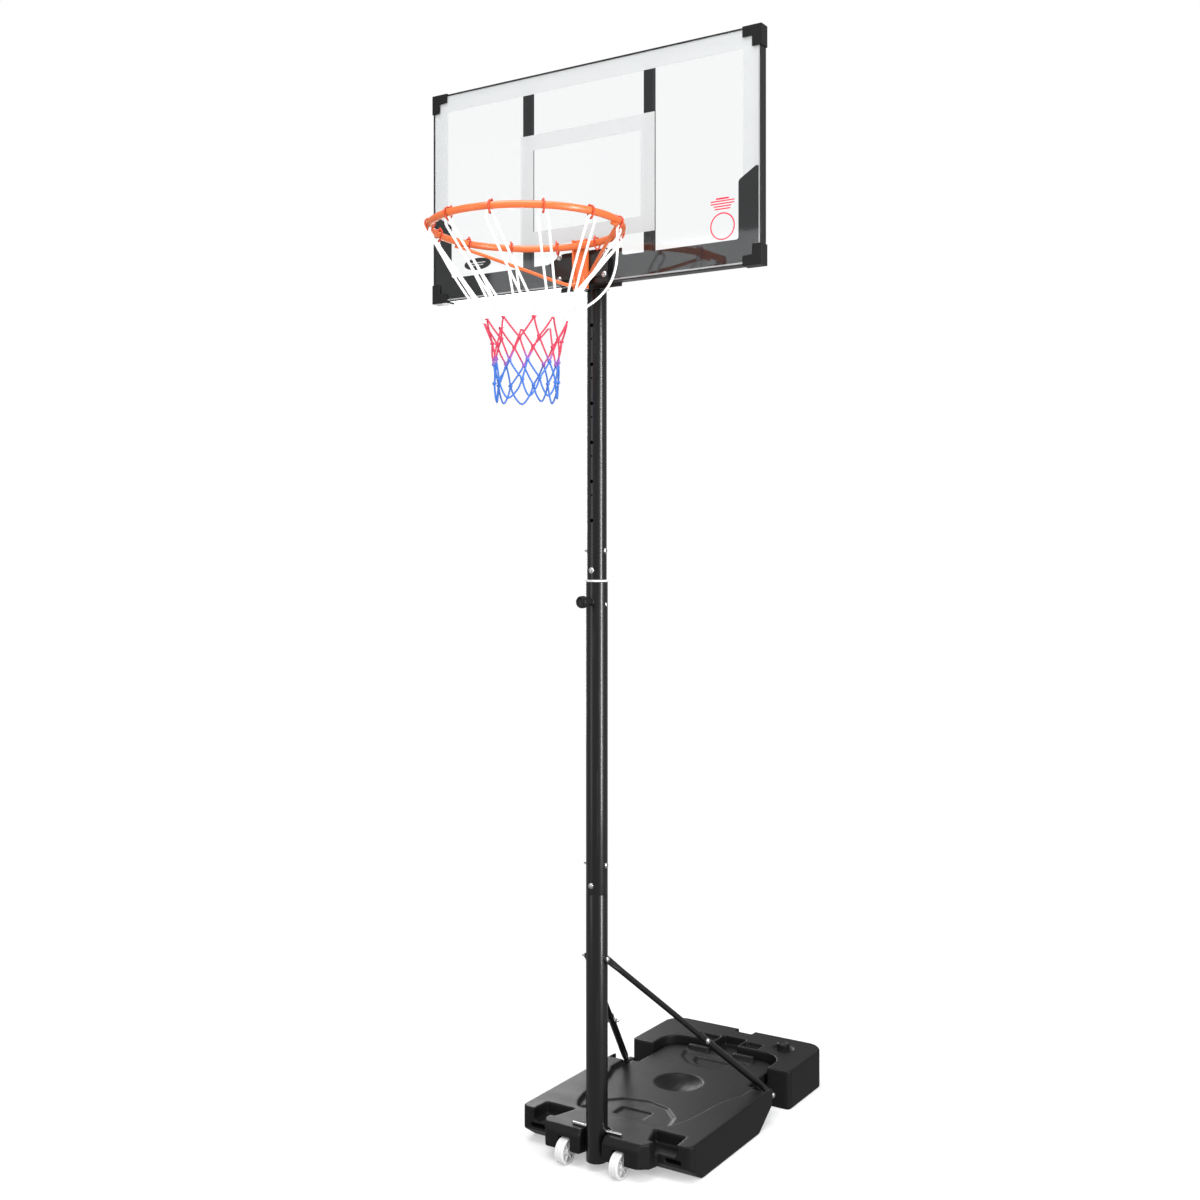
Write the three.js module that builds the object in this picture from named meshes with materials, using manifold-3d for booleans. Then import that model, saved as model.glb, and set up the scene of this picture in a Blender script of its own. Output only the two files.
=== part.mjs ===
// A portable basketball hoop on a two-tank ballast base.
//
// Units are millimetres, +Z is up and the floor is z = 0. The pieces are made with the pole's
// axis on x = y = 0 and the court towards -Y. At the end the whole group is moved along Y, so
// that its origin is the centre of its footprint on the floor.
//
// Every piece is made as a solid, in place or along its own axis, and becomes one named mesh.

import * as THREE from 'three';
import { ConvexGeometry } from 'three/addons/geometries/ConvexGeometry.js';
import { mergeVertices } from 'three/addons/utils/BufferGeometryUtils.js';
import Module from 'manifold-3d';

const wasm = await Module();
wasm.setup();

// ---------------------------------------------------------------- driving dimensions

const GAP = 0.3;          // left between pieces that touch
const FACETS = 24;        // sides of a pole
const SMALL_FACETS = 8;   // sides of a bolt or a pin

const LOWER = { bottom: 20, length: 711 };
const MIDDLE = { length: 829 };
const INNER = { length: 715 };
const UPPER = { length: 830 };
const POLE = { outer: 58, wall: 1.2, slidingOuter: 52.4, slidingWall: 1.4, swage: 96, slideFit: 0.3 };

const BOLT = { shank: 7, head: 14, headHeight: 4, nut: 13, nutHeight: 5, fit: 0.4 };
const JOINT_BOLTS = { first: 25, second: 77 };   // above each pole seam
const BUSH = { flange: 5.4, overhang: 1.5, depth: 60 };
const LOWER_BUSH = { belowTop: 249, length: 60 };
const RIVET = { shank: 4, head: 7, headHeight: 2.2, length: 2.6 };

const HEIGHT_HOLES = { count: 6, pitch: 103.4, diameter: 10, first: 157, smallDiameter: 5, smallBelow: 36 };
const LOCK = { belowTop: 52, bossOuter: 22, bossLength: 27, pin: 9, pinFit: 0.6 };
const KNOB = { diameter: 33, length: 21, neck: 20, neckLength: 3 };

const FRONT_TANK = {
  width: 540, top: 100, deck: 88, wall: 4, lip: 30, lipBottom: 42, floorFront: 92, floorRear: 430,
  rear: 528, rearStep: 62, corner: 24,
};
const DECK = { front: 112, frontHalf: 130, middleHalf: 178, middle: 260, rearHalf: 214, rearFrom: 420 };
const DISH = { y: 445, radius: 72, depth: 26, ventRadius: 4 };
const FRONT_DISC = { y: 135, radius: 140, depth: 4 };
const PANEL_POCKET = { y: 185, width: 96, length: 54, depth: 9 };
const REAR_DISC = { y: 700, radius: 115, depth: 3 };
const HALF_MOON = { y: 665, radius: 60, depth: 9 };
const TONGUE = { halfWidth: 186, rear: 733, thickness: 28, corner: 55 };
const LATCH = { inner: 42, outer: 112, front: 700, rear: 726, height: 13 };
const WHEEL_BLOCK = { outer: 165, front: -34, bottom: 38, chamfer: 14 };
const POLE_NOTCH = { fit: 6 };
const SHELF = { inner: 128, outer: 226, rear: 90, floor: 66, front: 22 };
const SHELF_HOLES = { radius: 3, depth: 12, x: 163, y: 63, apartX: 10, apartY: 18 };
const LIP_SLOT = { inner: 190, outer: 238, bottom: 47, top: 58, depth: 30 };
const BRACE_EAR = { inner: 222, thickness: 22, length: 54, bottom: 46, top: 80 };
const BRACE_POCKET = { inner: 208, outer: 262, length: 40, floor: 72 };

const REAR_TANK = { width: 540, top: 112, front: 628, rear: 895, corner: 62, frontCorner: 16, wall: 4 };
const NEST = { fit: 10, corner: 62 };
const CHANNEL = { halfWidth: 38, rear: 812, floor: 84 };
const SIDE_SLOT = { inner: 46, outer: 102, front: 757, rear: 797, depth: 13 };
const REAR_NOTCH = { halfWidth: 28, length: 26, depth: 13 };
const FILLER = { x: 167, y: 805, bore: 33, wellRadius: 33, wellDepth: 4 };
const CAP = { outer: 39, height: 18, plugFit: 0.6, plugDepth: 12, gasket: 2 };

const WHEEL = { x: 85, y: -25, radius: 34.5, width: 26, rim: 6, web: 7, hub: 10, bore: 4.5, ribs: 6 };
const AXLE = { radius: 4, half: 27 };
const ARCH = { fit: 5 };
const LOCK_ROD = { diameter: 7, length: 154 };

const BRACE = {
  top: 540, upper: 16, lower: 20, wall: 1.5, fit: 0.4, split: 0.575, overlap: 60, plate: 5, eye: 10,
  flattened: 46,
};
const BRACE_BOLT = { shank: 7, fit: 0.4 };

const BOARD = { width: 1022, height: 582, front: -58, belowPoleTop: 54, panel: 3, sheetEdge: 3.5 };
const FRAME = { width: 22, wall: 1.4 };
const POST = { x: 190, width: 26, depth: 17, wall: 1.4 };
const CORNER = { leg: 50, width: 24, proud: 2.6 };
const POLE_BRACKET = { halfWidth: 95, bottom: -8, top: 92, plate: 3, ear: 3, earDepth: 40 };
const MOUNT_PLATE = { halfWidth: 95, bottom: 2, top: 88, depth: 16, sheet: 3, rim: 14, corner: 32 };
const MOUNT_BOLTS = { x: 70, low: 18, high: 76, shank: 7 };

const RIM = { inner: 457, tube: 18, boardGap: 20, aboveBoard: 97, segments: 48, sides: 8 };
const HOOK = { count: 12, wire: 4, drop: 12, turn: 15 };
const RIM_BRACKET = { halfWidth: 22, above: 17, below: 112, sheet: 4, webTop: 14, webBottom: 8 };
const STRUT = { diameter: 9, ringAngle: 7.5, foot: 14, footAbove: 12 };
const NET = {
  length: 408, below: 3, wall: 2.4, topInset: 23.5, waist: 198, waistRadius: 109, tail: 288, tailRadius: 84,
  strutFit: 4,
};

// ---------------------------------------------------------------- places that follow

const poleRadius = POLE.outer / 2;
const poleBore = poleRadius - POLE.wall;
const slidingRadius = POLE.slidingOuter / 2;
const slidingBore = slidingRadius - POLE.slidingWall;

const seam = LOWER.bottom + LOWER.length;
const middleTop = seam + GAP + MIDDLE.length;
const upperBottom = middleTop + GAP + BUSH.flange + GAP;
const poleTop = upperBottom + UPPER.length;
const lockHeight = middleTop - LOCK.belowTop;
const braceHeight = LOWER.bottom + BRACE.top;
const rodHeight = FRONT_TANK.top + GAP + LOCK_ROD.diameter / 2;

const boardBottom = poleTop - BOARD.belowPoleTop;
const boardTop = boardBottom + BOARD.height;
const boardHalf = BOARD.width / 2;
const frameFront = BOARD.front + BOARD.panel + GAP;
const frameRear = -slidingRadius - POLE_BRACKET.plate - 2 * GAP;
const rimHeight = boardBottom + RIM.aboveBoard;
const ringRadius = (RIM.inner + RIM.tube) / 2;
const ringY = BOARD.front - RIM.boardGap - RIM.tube / 2 - ringRadius;
const nestHalf = TONGUE.halfWidth + NEST.fit;
const nestRear = TONGUE.rear + NEST.fit;
const tongueBottom = FRONT_TANK.deck - TONGUE.thickness;
const braceFoot = {
  x: BRACE_EAR.inner + BRACE_EAR.thickness + GAP + BRACE.plate / 2,
  y: FRONT_TANK.rear + BRACE_EAR.length - 20,
  z: (BRACE_EAR.bottom + BRACE_EAR.top) / 2,
};

// ---------------------------------------------------------------- materials

function finish(color, roughness, metalness, opacity = 1) {
  return new THREE.MeshStandardMaterial({ color, roughness, metalness, opacity, transparent: opacity < 1 });
}

const paint = finish(0x17181a, 0.32, 0.6);
const tankPlastic = finish(0x26272a, 0.6, 0);
const blackPlastic = finish(0x131315, 0.45, 0);
const steel = finish(0xd0d2d6, 0.22, 1);
const white = finish(0xf1f2f2, 0.4, 0);
const orange = finish(0xe8702c, 0.36, 0.3);
const clear = finish(0xf3f6f8, 0.08, 0, 0.25);
const cord = finish(0xf4f4f2, 0.85, 0);
const water = finish(0x7fa8c4, 0.1, 0);
const rubber = finish(0x1b1b1c, 0.8, 0);

// ---------------------------------------------------------------- making solids

function solid(geometry) {
  const bare = geometry.clone();
  bare.deleteAttribute('normal');
  bare.deleteAttribute('uv');
  const welded = mergeVertices(bare, 1e-4);
  const corners = welded.index.array;
  const kept = [];
  for (let i = 0; i < corners.length; i += 3) {
    const [a, b, c] = [corners[i], corners[i + 1], corners[i + 2]];
    if (a !== b && b !== c && c !== a) kept.push(a, b, c);
  }
  return new wasm.Manifold(new wasm.Mesh({
    numProp: 3,
    vertProperties: Float32Array.from(welded.attributes.position.array),
    triVerts: Uint32Array.from(kept),
  }));
}

function block(x, y, z) {
  const box = new THREE.BoxGeometry(x[1] - x[0], y[1] - y[0], z[1] - z[0]);
  return solid(box.translate((x[0] + x[1]) / 2, (y[0] + y[1]) / 2, (z[0] + z[1]) / 2));
}

const extruded = (shape, depth, curveSegments = 6) => (
  new THREE.ExtrudeGeometry(shape, { depth, bevelEnabled: false, curveSegments }));

// A shape drawn in plan, raised from one height to another.
function raised(shape, bottom, top) {
  const prism = extruded(shape, top - bottom);
  return solid(prism.translate(0, 0, bottom));
}

// A shape drawn in the Y-Z plane, carried along X.
function acrossX(shape, left, right) {
  const prism = extruded(shape, right - left);
  prism.translate(0, 0, left);
  const turn = new THREE.Matrix4().makeBasis(
    new THREE.Vector3(0, 1, 0), new THREE.Vector3(0, 0, 1), new THREE.Vector3(1, 0, 0));
  return solid(prism.applyMatrix4(turn));
}

function outline(points) {
  return new THREE.Shape(points.map(([a, b]) => new THREE.Vector2(a, b)));
}

// A rectangle whose two near corners and two far corners are rounded.
function roundedRectangle(x0, x1, y0, y1, near, far) {
  const shape = new THREE.Shape();
  shape.absarc(x0 + near, y0 + near, near, Math.PI, 1.5 * Math.PI, false);
  shape.absarc(x1 - near, y0 + near, near, 1.5 * Math.PI, 2 * Math.PI, false);
  shape.absarc(x1 - far, y1 - far, far, 0, 0.5 * Math.PI, false);
  shape.absarc(x0 + far, y1 - far, far, 0.5 * Math.PI, Math.PI, false);
  return shape;
}

// A profile of [radius, height] pairs, anticlockwise round the wall, turned about Z.
function turned(profile, facets = FACETS) {
  const lathe = new THREE.LatheGeometry(profile.map(([r, h]) => new THREE.Vector2(r, h)), facets);
  return solid(lathe.rotateX(Math.PI / 2));
}

function disc(radius, bottom, top, facets = FACETS) {
  return turned([[0, bottom], [radius, bottom], [radius, top], [0, top]], facets);
}

function ringWall(outer, inner, bottom, top, facets = FACETS) {
  return turned([[inner, bottom], [outer, bottom], [outer, top], [inner, top], [inner, bottom]], facets);
}

// Turns a solid made along Z so that its +Z end points along an axis, and places it.
function placed(shape, axis, x, y, z) {
  const turn = new THREE.Quaternion().setFromUnitVectors(TO_TOP, axis);
  const place = new THREE.Matrix4().compose(new THREE.Vector3(x, y, z), turn, new THREE.Vector3(1, 1, 1));
  return shape.transform(place.elements);
}

const TO_TOP = new THREE.Vector3(0, 0, 1);
const TO_RIGHT = new THREE.Vector3(1, 0, 0);
const TO_COURT = new THREE.Vector3(0, -1, 0);
const TO_REAR = new THREE.Vector3(0, 1, 0);

// A cutter for a round hole along an axis, from one distance to another.
function hole(radius, from, to, axis, x, y, z) {
  return placed(disc(radius, from, to, SMALL_FACETS), axis, x, y, z);
}

function mirrored(shape, side) {
  return side < 0 ? shape.mirror([1, 0, 0]) : shape;
}

function piece(name, shape, material) {
  const made = shape.getMesh();
  const geometry = new THREE.BufferGeometry();
  geometry.setAttribute('position', new THREE.BufferAttribute(Float32Array.from(made.vertProperties), 3));
  geometry.setIndex(new THREE.BufferAttribute(Uint32Array.from(made.triVerts), 1));
  geometry.computeVertexNormals();
  const mesh = new THREE.Mesh(geometry, material);
  mesh.name = name;
  return mesh;
}

// A domed bolt along Z, its head at the top end of the span and its nut below the other end.
function throughBolt(span, shank = BOLT.shank) {
  const low = -span / 2 - GAP;
  const high = span / 2 + GAP;
  return turned([
    [0, low - BOLT.nutHeight], [BOLT.nut / 2, low - BOLT.nutHeight], [BOLT.nut / 2, low],
    [shank / 2, low], [shank / 2, high], [BOLT.head / 2, high], [BOLT.head / 2, high + 1],
    [BOLT.head * 0.3, high + BOLT.headHeight], [0, high + BOLT.headHeight],
  ], SMALL_FACETS);
}

const group = (...pieces) => new THREE.Group().add(...pieces);

// ---------------------------------------------------------------- pole

const boltHole = BOLT.shank / 2 + BOLT.fit;

function crossHole(axis, z, radius = boltHole) {
  return hole(radius, -POLE.outer, POLE.outer, axis, 0, 0, z);
}

// A tube whose top end is drawn in, so that it slips into the tube above it.
function swagedTube(outer, wall, bottom, shoulder, socket) {
  const neck = socket - GAP;
  return turned([
    [outer - wall, bottom], [outer, bottom], [outer, shoulder], [neck, shoulder],
    [neck, shoulder + POLE.swage], [neck - wall, shoulder + POLE.swage],
    [neck - wall, shoulder - 10], [outer - wall, shoulder - 20], [outer - wall, bottom],
  ]);
}

function lowerPole() {
  return swagedTube(poleRadius, POLE.wall, LOWER.bottom, seam, poleBore)
    .subtract(crossHole(TO_COURT, seam + JOINT_BOLTS.first))
    .subtract(crossHole(TO_RIGHT, seam + JOINT_BOLTS.second))
    .subtract(crossHole(TO_RIGHT, braceHeight))
    .subtract(crossHole(TO_RIGHT, rodHeight, LOCK_ROD.diameter / 2 + BOLT.fit));
}

function middlePole() {
  const bushHeight = middleTop - LOWER_BUSH.belowTop;
  return ringWall(poleRadius, poleBore, seam + GAP, middleTop)
    .subtract(crossHole(TO_COURT, seam + JOINT_BOLTS.first))
    .subtract(crossHole(TO_RIGHT, seam + JOINT_BOLTS.second))
    .subtract(crossHole(TO_RIGHT, bushHeight, RIVET.shank / 2 + GAP))
    .subtract(hole(LOCK.pin / 2 + LOCK.pinFit, 0, POLE.outer, TO_COURT, 0, 0, lockHeight));
}

// The tube that slides inside the middle pole, with a drawn-in end inside the upper pole.
function innerPole() {
  let tube = swagedTube(slidingRadius, POLE.slidingWall, upperBottom - GAP - INNER.length, upperBottom - GAP,
    slidingBore);
  tube = tube.subtract(crossHole(TO_COURT, upperBottom + JOINT_BOLTS.first));
  tube = tube.subtract(crossHole(TO_RIGHT, upperBottom + JOINT_BOLTS.second));
  for (let step = 0; step <= HEIGHT_HOLES.count; step += 1) {
    const z = lockHeight - step * HEIGHT_HOLES.pitch;
    tube = tube.subtract(hole(HEIGHT_HOLES.diameter / 2, 0, POLE.outer, TO_COURT, 0, 0, z));
  }
  return tube;
}

function upperPole() {
  let tube = ringWall(slidingRadius, slidingBore, upperBottom, poleTop);
  tube = tube.subtract(crossHole(TO_COURT, upperBottom + JOINT_BOLTS.first));
  tube = tube.subtract(crossHole(TO_RIGHT, upperBottom + JOINT_BOLTS.second));
  for (const z of bracketBoltHeights()) tube = tube.subtract(crossHole(TO_RIGHT, z));
  for (let step = 0; step < HEIGHT_HOLES.count; step += 1) {
    const z = upperBottom + HEIGHT_HOLES.first + step * HEIGHT_HOLES.pitch;
    tube = tube.subtract(hole(HEIGHT_HOLES.diameter / 2, 0, POLE.outer, TO_COURT, 0, 0, z));
    if (step === 0) continue;
    const small = HEIGHT_HOLES.smallDiameter / 2;
    tube = tube.subtract(hole(small, 0, POLE.outer, TO_COURT, 0, 0, z - HEIGHT_HOLES.smallBelow));
  }
  return tube;
}

// A flanged sleeve in the top of the middle pole, which the sliding pole runs in.
function guideBush() {
  const sleeve = poleBore - GAP;
  const bore = slidingRadius + POLE.slideFit;
  const low = middleTop - BUSH.depth;
  const flange = middleTop + GAP;
  return turned([
    [bore, low], [sleeve, low], [sleeve, flange], [poleRadius + BUSH.overhang, flange],
    [poleRadius + BUSH.overhang, flange + BUSH.flange - 1],
    [poleRadius + BUSH.overhang - 1, flange + BUSH.flange], [bore, flange + BUSH.flange], [bore, low],
  ]).subtract(hole(LOCK.pin / 2 + LOCK.pinFit, 0, POLE.outer, TO_COURT, 0, 0, lockHeight));
}

function lowerGuideBush() {
  const centre = middleTop - LOWER_BUSH.belowTop;
  return ringWall(poleBore - GAP, slidingRadius + POLE.slideFit, centre - LOWER_BUSH.length / 2,
    centre + LOWER_BUSH.length / 2);
}

// A short blind rivet that holds the lower bush from outside the pole.
function bushRivet() {
  const seat = poleRadius + GAP;
  return turned([
    [0, seat - RIVET.length + 1.3], [RIVET.shank / 2, seat - RIVET.length + 1.3], [RIVET.shank / 2, seat],
    [RIVET.head / 2, seat], [RIVET.head * 0.3, seat + RIVET.headHeight], [0, seat + RIVET.headHeight],
  ], SMALL_FACETS);
}

function lockBoss() {
  const outer = poleRadius + LOCK.bossLength;
  const tube = ringWall(LOCK.bossOuter / 2, LOCK.pin / 2 + LOCK.pinFit, 0, outer, SMALL_FACETS);
  const pole = disc(poleRadius + GAP, lockHeight - POLE.outer, lockHeight + POLE.outer);
  return placed(tube, TO_COURT, 0, 0, lockHeight).subtract(pole);
}

// The pin stops just outside the sliding pole; the knob is moulded on its outer end.
function lockPin() {
  const tip = slidingRadius + 2 * GAP;
  return disc(LOCK.pin / 2, tip, poleRadius + LOCK.bossLength + KNOB.neckLength - GAP, SMALL_FACETS);
}

function lockKnob() {
  const inner = poleRadius + LOCK.bossLength + KNOB.neckLength;
  const outer = inner + KNOB.length;
  const radius = KNOB.diameter / 2;
  return turned([
    [0, inner], [KNOB.neck / 2, inner], [radius, inner + 4], [radius, outer - 2],
    [radius - 2, outer], [radius - 5, outer], [radius - 6, outer - 1.5], [0, outer - 1.5],
  ]);
}

// ---------------------------------------------------------------- base tanks

function frontTankHull() {
  const half = FRONT_TANK.width / 2;
  const side = acrossX(outline([
    [FRONT_TANK.floorFront, 0], [FRONT_TANK.floorRear, 0], [FRONT_TANK.rear, FRONT_TANK.rearStep],
    [FRONT_TANK.rear, FRONT_TANK.top], [FRONT_TANK.lip, FRONT_TANK.top],
    [FRONT_TANK.lip, FRONT_TANK.lipBottom],
  ]), -half, half);
  const plan = raised(roundedRectangle(-half, half, FRONT_TANK.lip, FRONT_TANK.rear, FRONT_TANK.corner,
    FRONT_TANK.corner), 0, FRONT_TANK.top);
  return side.intersect(plan);
}

function tongue() {
  const shape = roundedRectangle(-TONGUE.halfWidth, TONGUE.halfWidth, FRONT_TANK.rear - 60, TONGUE.rear, 4,
    TONGUE.corner);
  let made = raised(shape, tongueBottom, FRONT_TANK.deck);
  for (const side of [-1, 1]) {
    const latch = acrossX(outline([
      [LATCH.front, FRONT_TANK.deck - 5], [LATCH.rear, FRONT_TANK.deck - 5],
      [LATCH.rear - 4, FRONT_TANK.deck + LATCH.height], [LATCH.front + 6, FRONT_TANK.deck + LATCH.height],
    ]), LATCH.inner, LATCH.outer);
    made = made.add(mirrored(latch, side));
  }
  return made;
}

function wheelBlocks() {
  const side = outline([
    [WHEEL_BLOCK.front, WHEEL_BLOCK.bottom], [FRONT_TANK.lip + 60, WHEEL_BLOCK.bottom - 20],
    [FRONT_TANK.lip + 60, FRONT_TANK.top], [WHEEL_BLOCK.front + WHEEL_BLOCK.chamfer, FRONT_TANK.top],
    [WHEEL_BLOCK.front, FRONT_TANK.top - WHEEL_BLOCK.chamfer],
  ]);
  const plan = outline([
    [-WHEEL_BLOCK.outer, WHEEL_BLOCK.front + 30], [-WHEEL_BLOCK.outer + 22, WHEEL_BLOCK.front],
    [WHEEL_BLOCK.outer - 22, WHEEL_BLOCK.front], [WHEEL_BLOCK.outer, WHEEL_BLOCK.front + 30],
    [WHEEL_BLOCK.outer, FRONT_TANK.lip + 60], [-WHEEL_BLOCK.outer, FRONT_TANK.lip + 60],
  ]);
  const blocks = acrossX(side, -WHEEL_BLOCK.outer, WHEEL_BLOCK.outer);
  return blocks.intersect(raised(plan, 0, FRONT_TANK.top));
}

function braceEars() {
  let ears = null;
  for (const side of [-1, 1]) {
    const { inner, thickness, length, bottom, top } = BRACE_EAR;
    const ear = acrossX(outline([
      [FRONT_TANK.rear - 20, bottom], [FRONT_TANK.rear + length - 14, bottom],
      [FRONT_TANK.rear + length, bottom + 14], [FRONT_TANK.rear + length, top - 14],
      [FRONT_TANK.rear + length - 14, top], [FRONT_TANK.rear - 20, top],
    ]), inner, inner + thickness);
    ears = ears ? ears.add(mirrored(ear, side)) : mirrored(ear, side);
  }
  return ears;
}

function deckRecess() {
  const { front, frontHalf, middleHalf, middle, rearHalf, rearFrom } = DECK;
  const shape = new THREE.Shape();
  shape.moveTo(-frontHalf, front);
  shape.lineTo(frontHalf, front);
  shape.quadraticCurveTo(middleHalf - 12, front + 30, middleHalf, middle);
  shape.quadraticCurveTo(middleHalf + 6, rearFrom - 50, rearHalf, rearFrom);
  shape.lineTo(rearHalf, FRONT_TANK.rear - 14);
  shape.lineTo(nestHalf - 10, FRONT_TANK.rear + 30);
  shape.lineTo(-nestHalf + 10, FRONT_TANK.rear + 30);
  shape.lineTo(-rearHalf, FRONT_TANK.rear - 14);
  shape.lineTo(-rearHalf, rearFrom);
  shape.quadraticCurveTo(-middleHalf - 6, rearFrom - 50, -middleHalf, middle);
  shape.quadraticCurveTo(-middleHalf + 12, front + 30, -frontHalf, front);
  return raised(shape, FRONT_TANK.deck, FRONT_TANK.top + 5);
}

function circle(radius, y) {
  return new THREE.Shape().absarc(0, y, radius, 0, 2 * Math.PI, false);
}

// The moulded marks in the deck: a dish, two shallow discs, a pocket and a half moon.
function deckMarks() {
  const above = FRONT_TANK.deck + 5;
  const bowl = (DISH.radius ** 2 + DISH.depth ** 2) / (2 * DISH.depth);
  const dish = solid(new THREE.SphereGeometry(bowl, 32, 32))
    .translate([0, DISH.y, FRONT_TANK.deck - DISH.depth + bowl])
    .intersect(block([-100, 100], [DISH.y - 100, DISH.y + 100], [0, above]));
  const frontDisc = raised(circle(FRONT_DISC.radius, FRONT_DISC.y), FRONT_TANK.deck - FRONT_DISC.depth, above)
    .intersect(block([-200, 200], [DECK.front, 400], [0, above]));
  const pocket = block([-PANEL_POCKET.width / 2, PANEL_POCKET.width / 2],
    [PANEL_POCKET.y - PANEL_POCKET.length / 2, PANEL_POCKET.y + PANEL_POCKET.length / 2],
    [FRONT_TANK.deck - PANEL_POCKET.depth, above]);
  const rearDisc = raised(circle(REAR_DISC.radius, REAR_DISC.y), FRONT_TANK.deck - REAR_DISC.depth, above)
    .intersect(block([-200, 200], [400, LATCH.front - 10], [0, above]));
  const moon = raised(circle(HALF_MOON.radius, HALF_MOON.y), FRONT_TANK.deck - HALF_MOON.depth, above)
    .intersect(block([-100, 100], [400, HALF_MOON.y], [0, above]));
  return [dish, frontDisc, pocket, rearDisc, moon];
}

function shelfCuts(side) {
  const front = FRONT_TANK.lip - 10;
  const shelf = raised(outline([
    [SHELF.inner + SHELF.front, front], [SHELF.outer, front],
    [SHELF.outer - 4, SHELF.rear], [SHELF.inner, SHELF.rear],
  ]), SHELF.floor, FRONT_TANK.top + 5);
  const slot = block([LIP_SLOT.inner, LIP_SLOT.outer], [front, FRONT_TANK.lip + LIP_SLOT.depth],
    [LIP_SLOT.bottom, LIP_SLOT.top]);
  const cuts = [shelf, slot];
  for (const end of [-0.5, 0.5]) {
    cuts.push(hole(SHELF_HOLES.radius, SHELF.floor - SHELF_HOLES.depth, SHELF.floor + 5, TO_TOP,
      SHELF_HOLES.x + end * SHELF_HOLES.apartX, SHELF_HOLES.y + end * SHELF_HOLES.apartY, 0));
  }
  return cuts.map((cut) => mirrored(cut, side));
}

function wheelArch(side) {
  const radius = WHEEL.radius + ARCH.fit;
  const half = WHEEL.width / 2 + ARCH.fit;
  const arch = placed(disc(radius, -half, half), TO_RIGHT, WHEEL.x, WHEEL.y, WHEEL.radius + 0.5);
  const axle = hole(AXLE.radius + GAP, -AXLE.half - 2, AXLE.half + 2, TO_RIGHT, WHEEL.x, WHEEL.y,
    WHEEL.radius + 0.5);
  const below = block([WHEEL.x - half, WHEEL.x + half], [WHEEL.y - radius, WHEEL.y + radius],
    [0, WHEEL.radius]);
  return mirrored(arch.add(axle).add(below), side);
}

// The water space: the hull shrunk by the wall, kept clear of everything sunk into the deck.
function frontCavity(shrink) {
  const half = FRONT_TANK.width / 2 - shrink;
  const floor = shrink;
  const roof = SHELF.floor - 14 - shrink;
  const shape = roundedRectangle(-half, half, FRONT_TANK.floorFront + 14 + shrink,
    FRONT_TANK.floorRear - shrink, 20, 20);
  const dish = disc(DISH.radius + shrink, FRONT_TANK.deck - DISH.depth - shrink, FRONT_TANK.top);
  return raised(shape, floor, roof).subtract(dish.translate([0, DISH.y, 0]));
}

function frontTank() {
  let tank = frontTankHull().add(tongue()).add(wheelBlocks()).add(braceEars());
  tank = tank.subtract(deckRecess());
  for (const mark of deckMarks()) tank = tank.subtract(mark);
  for (const side of [-1, 1]) {
    for (const cut of shelfCuts(side)) tank = tank.subtract(cut);
    tank = tank.subtract(wheelArch(side));
  }
  const notch = poleRadius + POLE_NOTCH.fit;
  tank = tank.subtract(disc(notch, 0, FRONT_TANK.top + 5));
  tank = tank.subtract(block([-notch, notch], [-90, 0], [0, FRONT_TANK.top + 5]));
  tank = tank.subtract(frontCavity(FRONT_TANK.wall));
  tank = tank.subtract(hole(DISH.ventRadius, 20, FRONT_TANK.top, TO_TOP, 0, DISH.y - 40, 0));
  for (const side of [-1, 1]) {
    const pocket = block([BRACE_POCKET.inner, BRACE_POCKET.outer],
      [FRONT_TANK.rear - BRACE_POCKET.length, FRONT_TANK.rear + BRACE_EAR.length + 5],
      [BRACE_POCKET.floor, FRONT_TANK.top + 5]);
    const trimmed = pocket.subtract(block([BRACE_EAR.inner, 300],
      [FRONT_TANK.rear, 700], [0, BRACE_EAR.top + 1]));
    const earHole = hole(boltHole, 100, 300, TO_RIGHT, 0, braceFoot.y, braceFoot.z);
    tank = tank.subtract(mirrored(trimmed, side)).subtract(mirrored(earHole, side));
  }
  return tank;
}

function rearTankHull() {
  const half = REAR_TANK.width / 2;
  return raised(roundedRectangle(-half, half, REAR_TANK.front, REAR_TANK.rear, REAR_TANK.frontCorner,
    REAR_TANK.corner), 0, REAR_TANK.top);
}

function rearCavity(shrink) {
  const half = REAR_TANK.width / 2 - shrink;
  const plan = roundedRectangle(-half, half, REAR_TANK.front + shrink, REAR_TANK.rear - shrink, 12, 58);
  const low = raised(plan, shrink, tongueBottom - 8 - shrink);
  const behind = raised(roundedRectangle(-half, half, nestRear + 12 + shrink, REAR_TANK.rear - shrink, 5, 58),
    tongueBottom - 20 - shrink, CHANNEL.floor - 6 - shrink);
  return low.add(behind);
}

function rearTank() {
  const top = REAR_TANK.top + 5;
  let tank = rearTankHull();
  const nest = roundedRectangle(-nestHalf, nestHalf, REAR_TANK.front - 40, nestRear, 4, NEST.corner);
  tank = tank.subtract(raised(nest, tongueBottom - GAP, top));
  tank = tank.subtract(block([-CHANNEL.halfWidth, CHANNEL.halfWidth], [nestRear - 10, CHANNEL.rear],
    [CHANNEL.floor, top]));
  const slot = block([SIDE_SLOT.inner, SIDE_SLOT.outer], [SIDE_SLOT.front, SIDE_SLOT.rear],
    [REAR_TANK.top - SIDE_SLOT.depth, top]);
  tank = tank.subtract(slot).subtract(mirrored(slot, -1));
  tank = tank.subtract(block([-REAR_NOTCH.halfWidth, REAR_NOTCH.halfWidth],
    [REAR_TANK.rear - REAR_NOTCH.length, REAR_TANK.rear + 5], [REAR_TANK.top - REAR_NOTCH.depth, top]));
  const well = disc(FILLER.wellRadius, REAR_TANK.top - FILLER.wellDepth, top);
  const bore = disc(FILLER.bore / 2, 40, top);
  tank = tank.subtract(well.add(bore).translate([FILLER.x, FILLER.y, 0]));
  return tank.subtract(rearCavity(REAR_TANK.wall));
}

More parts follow.
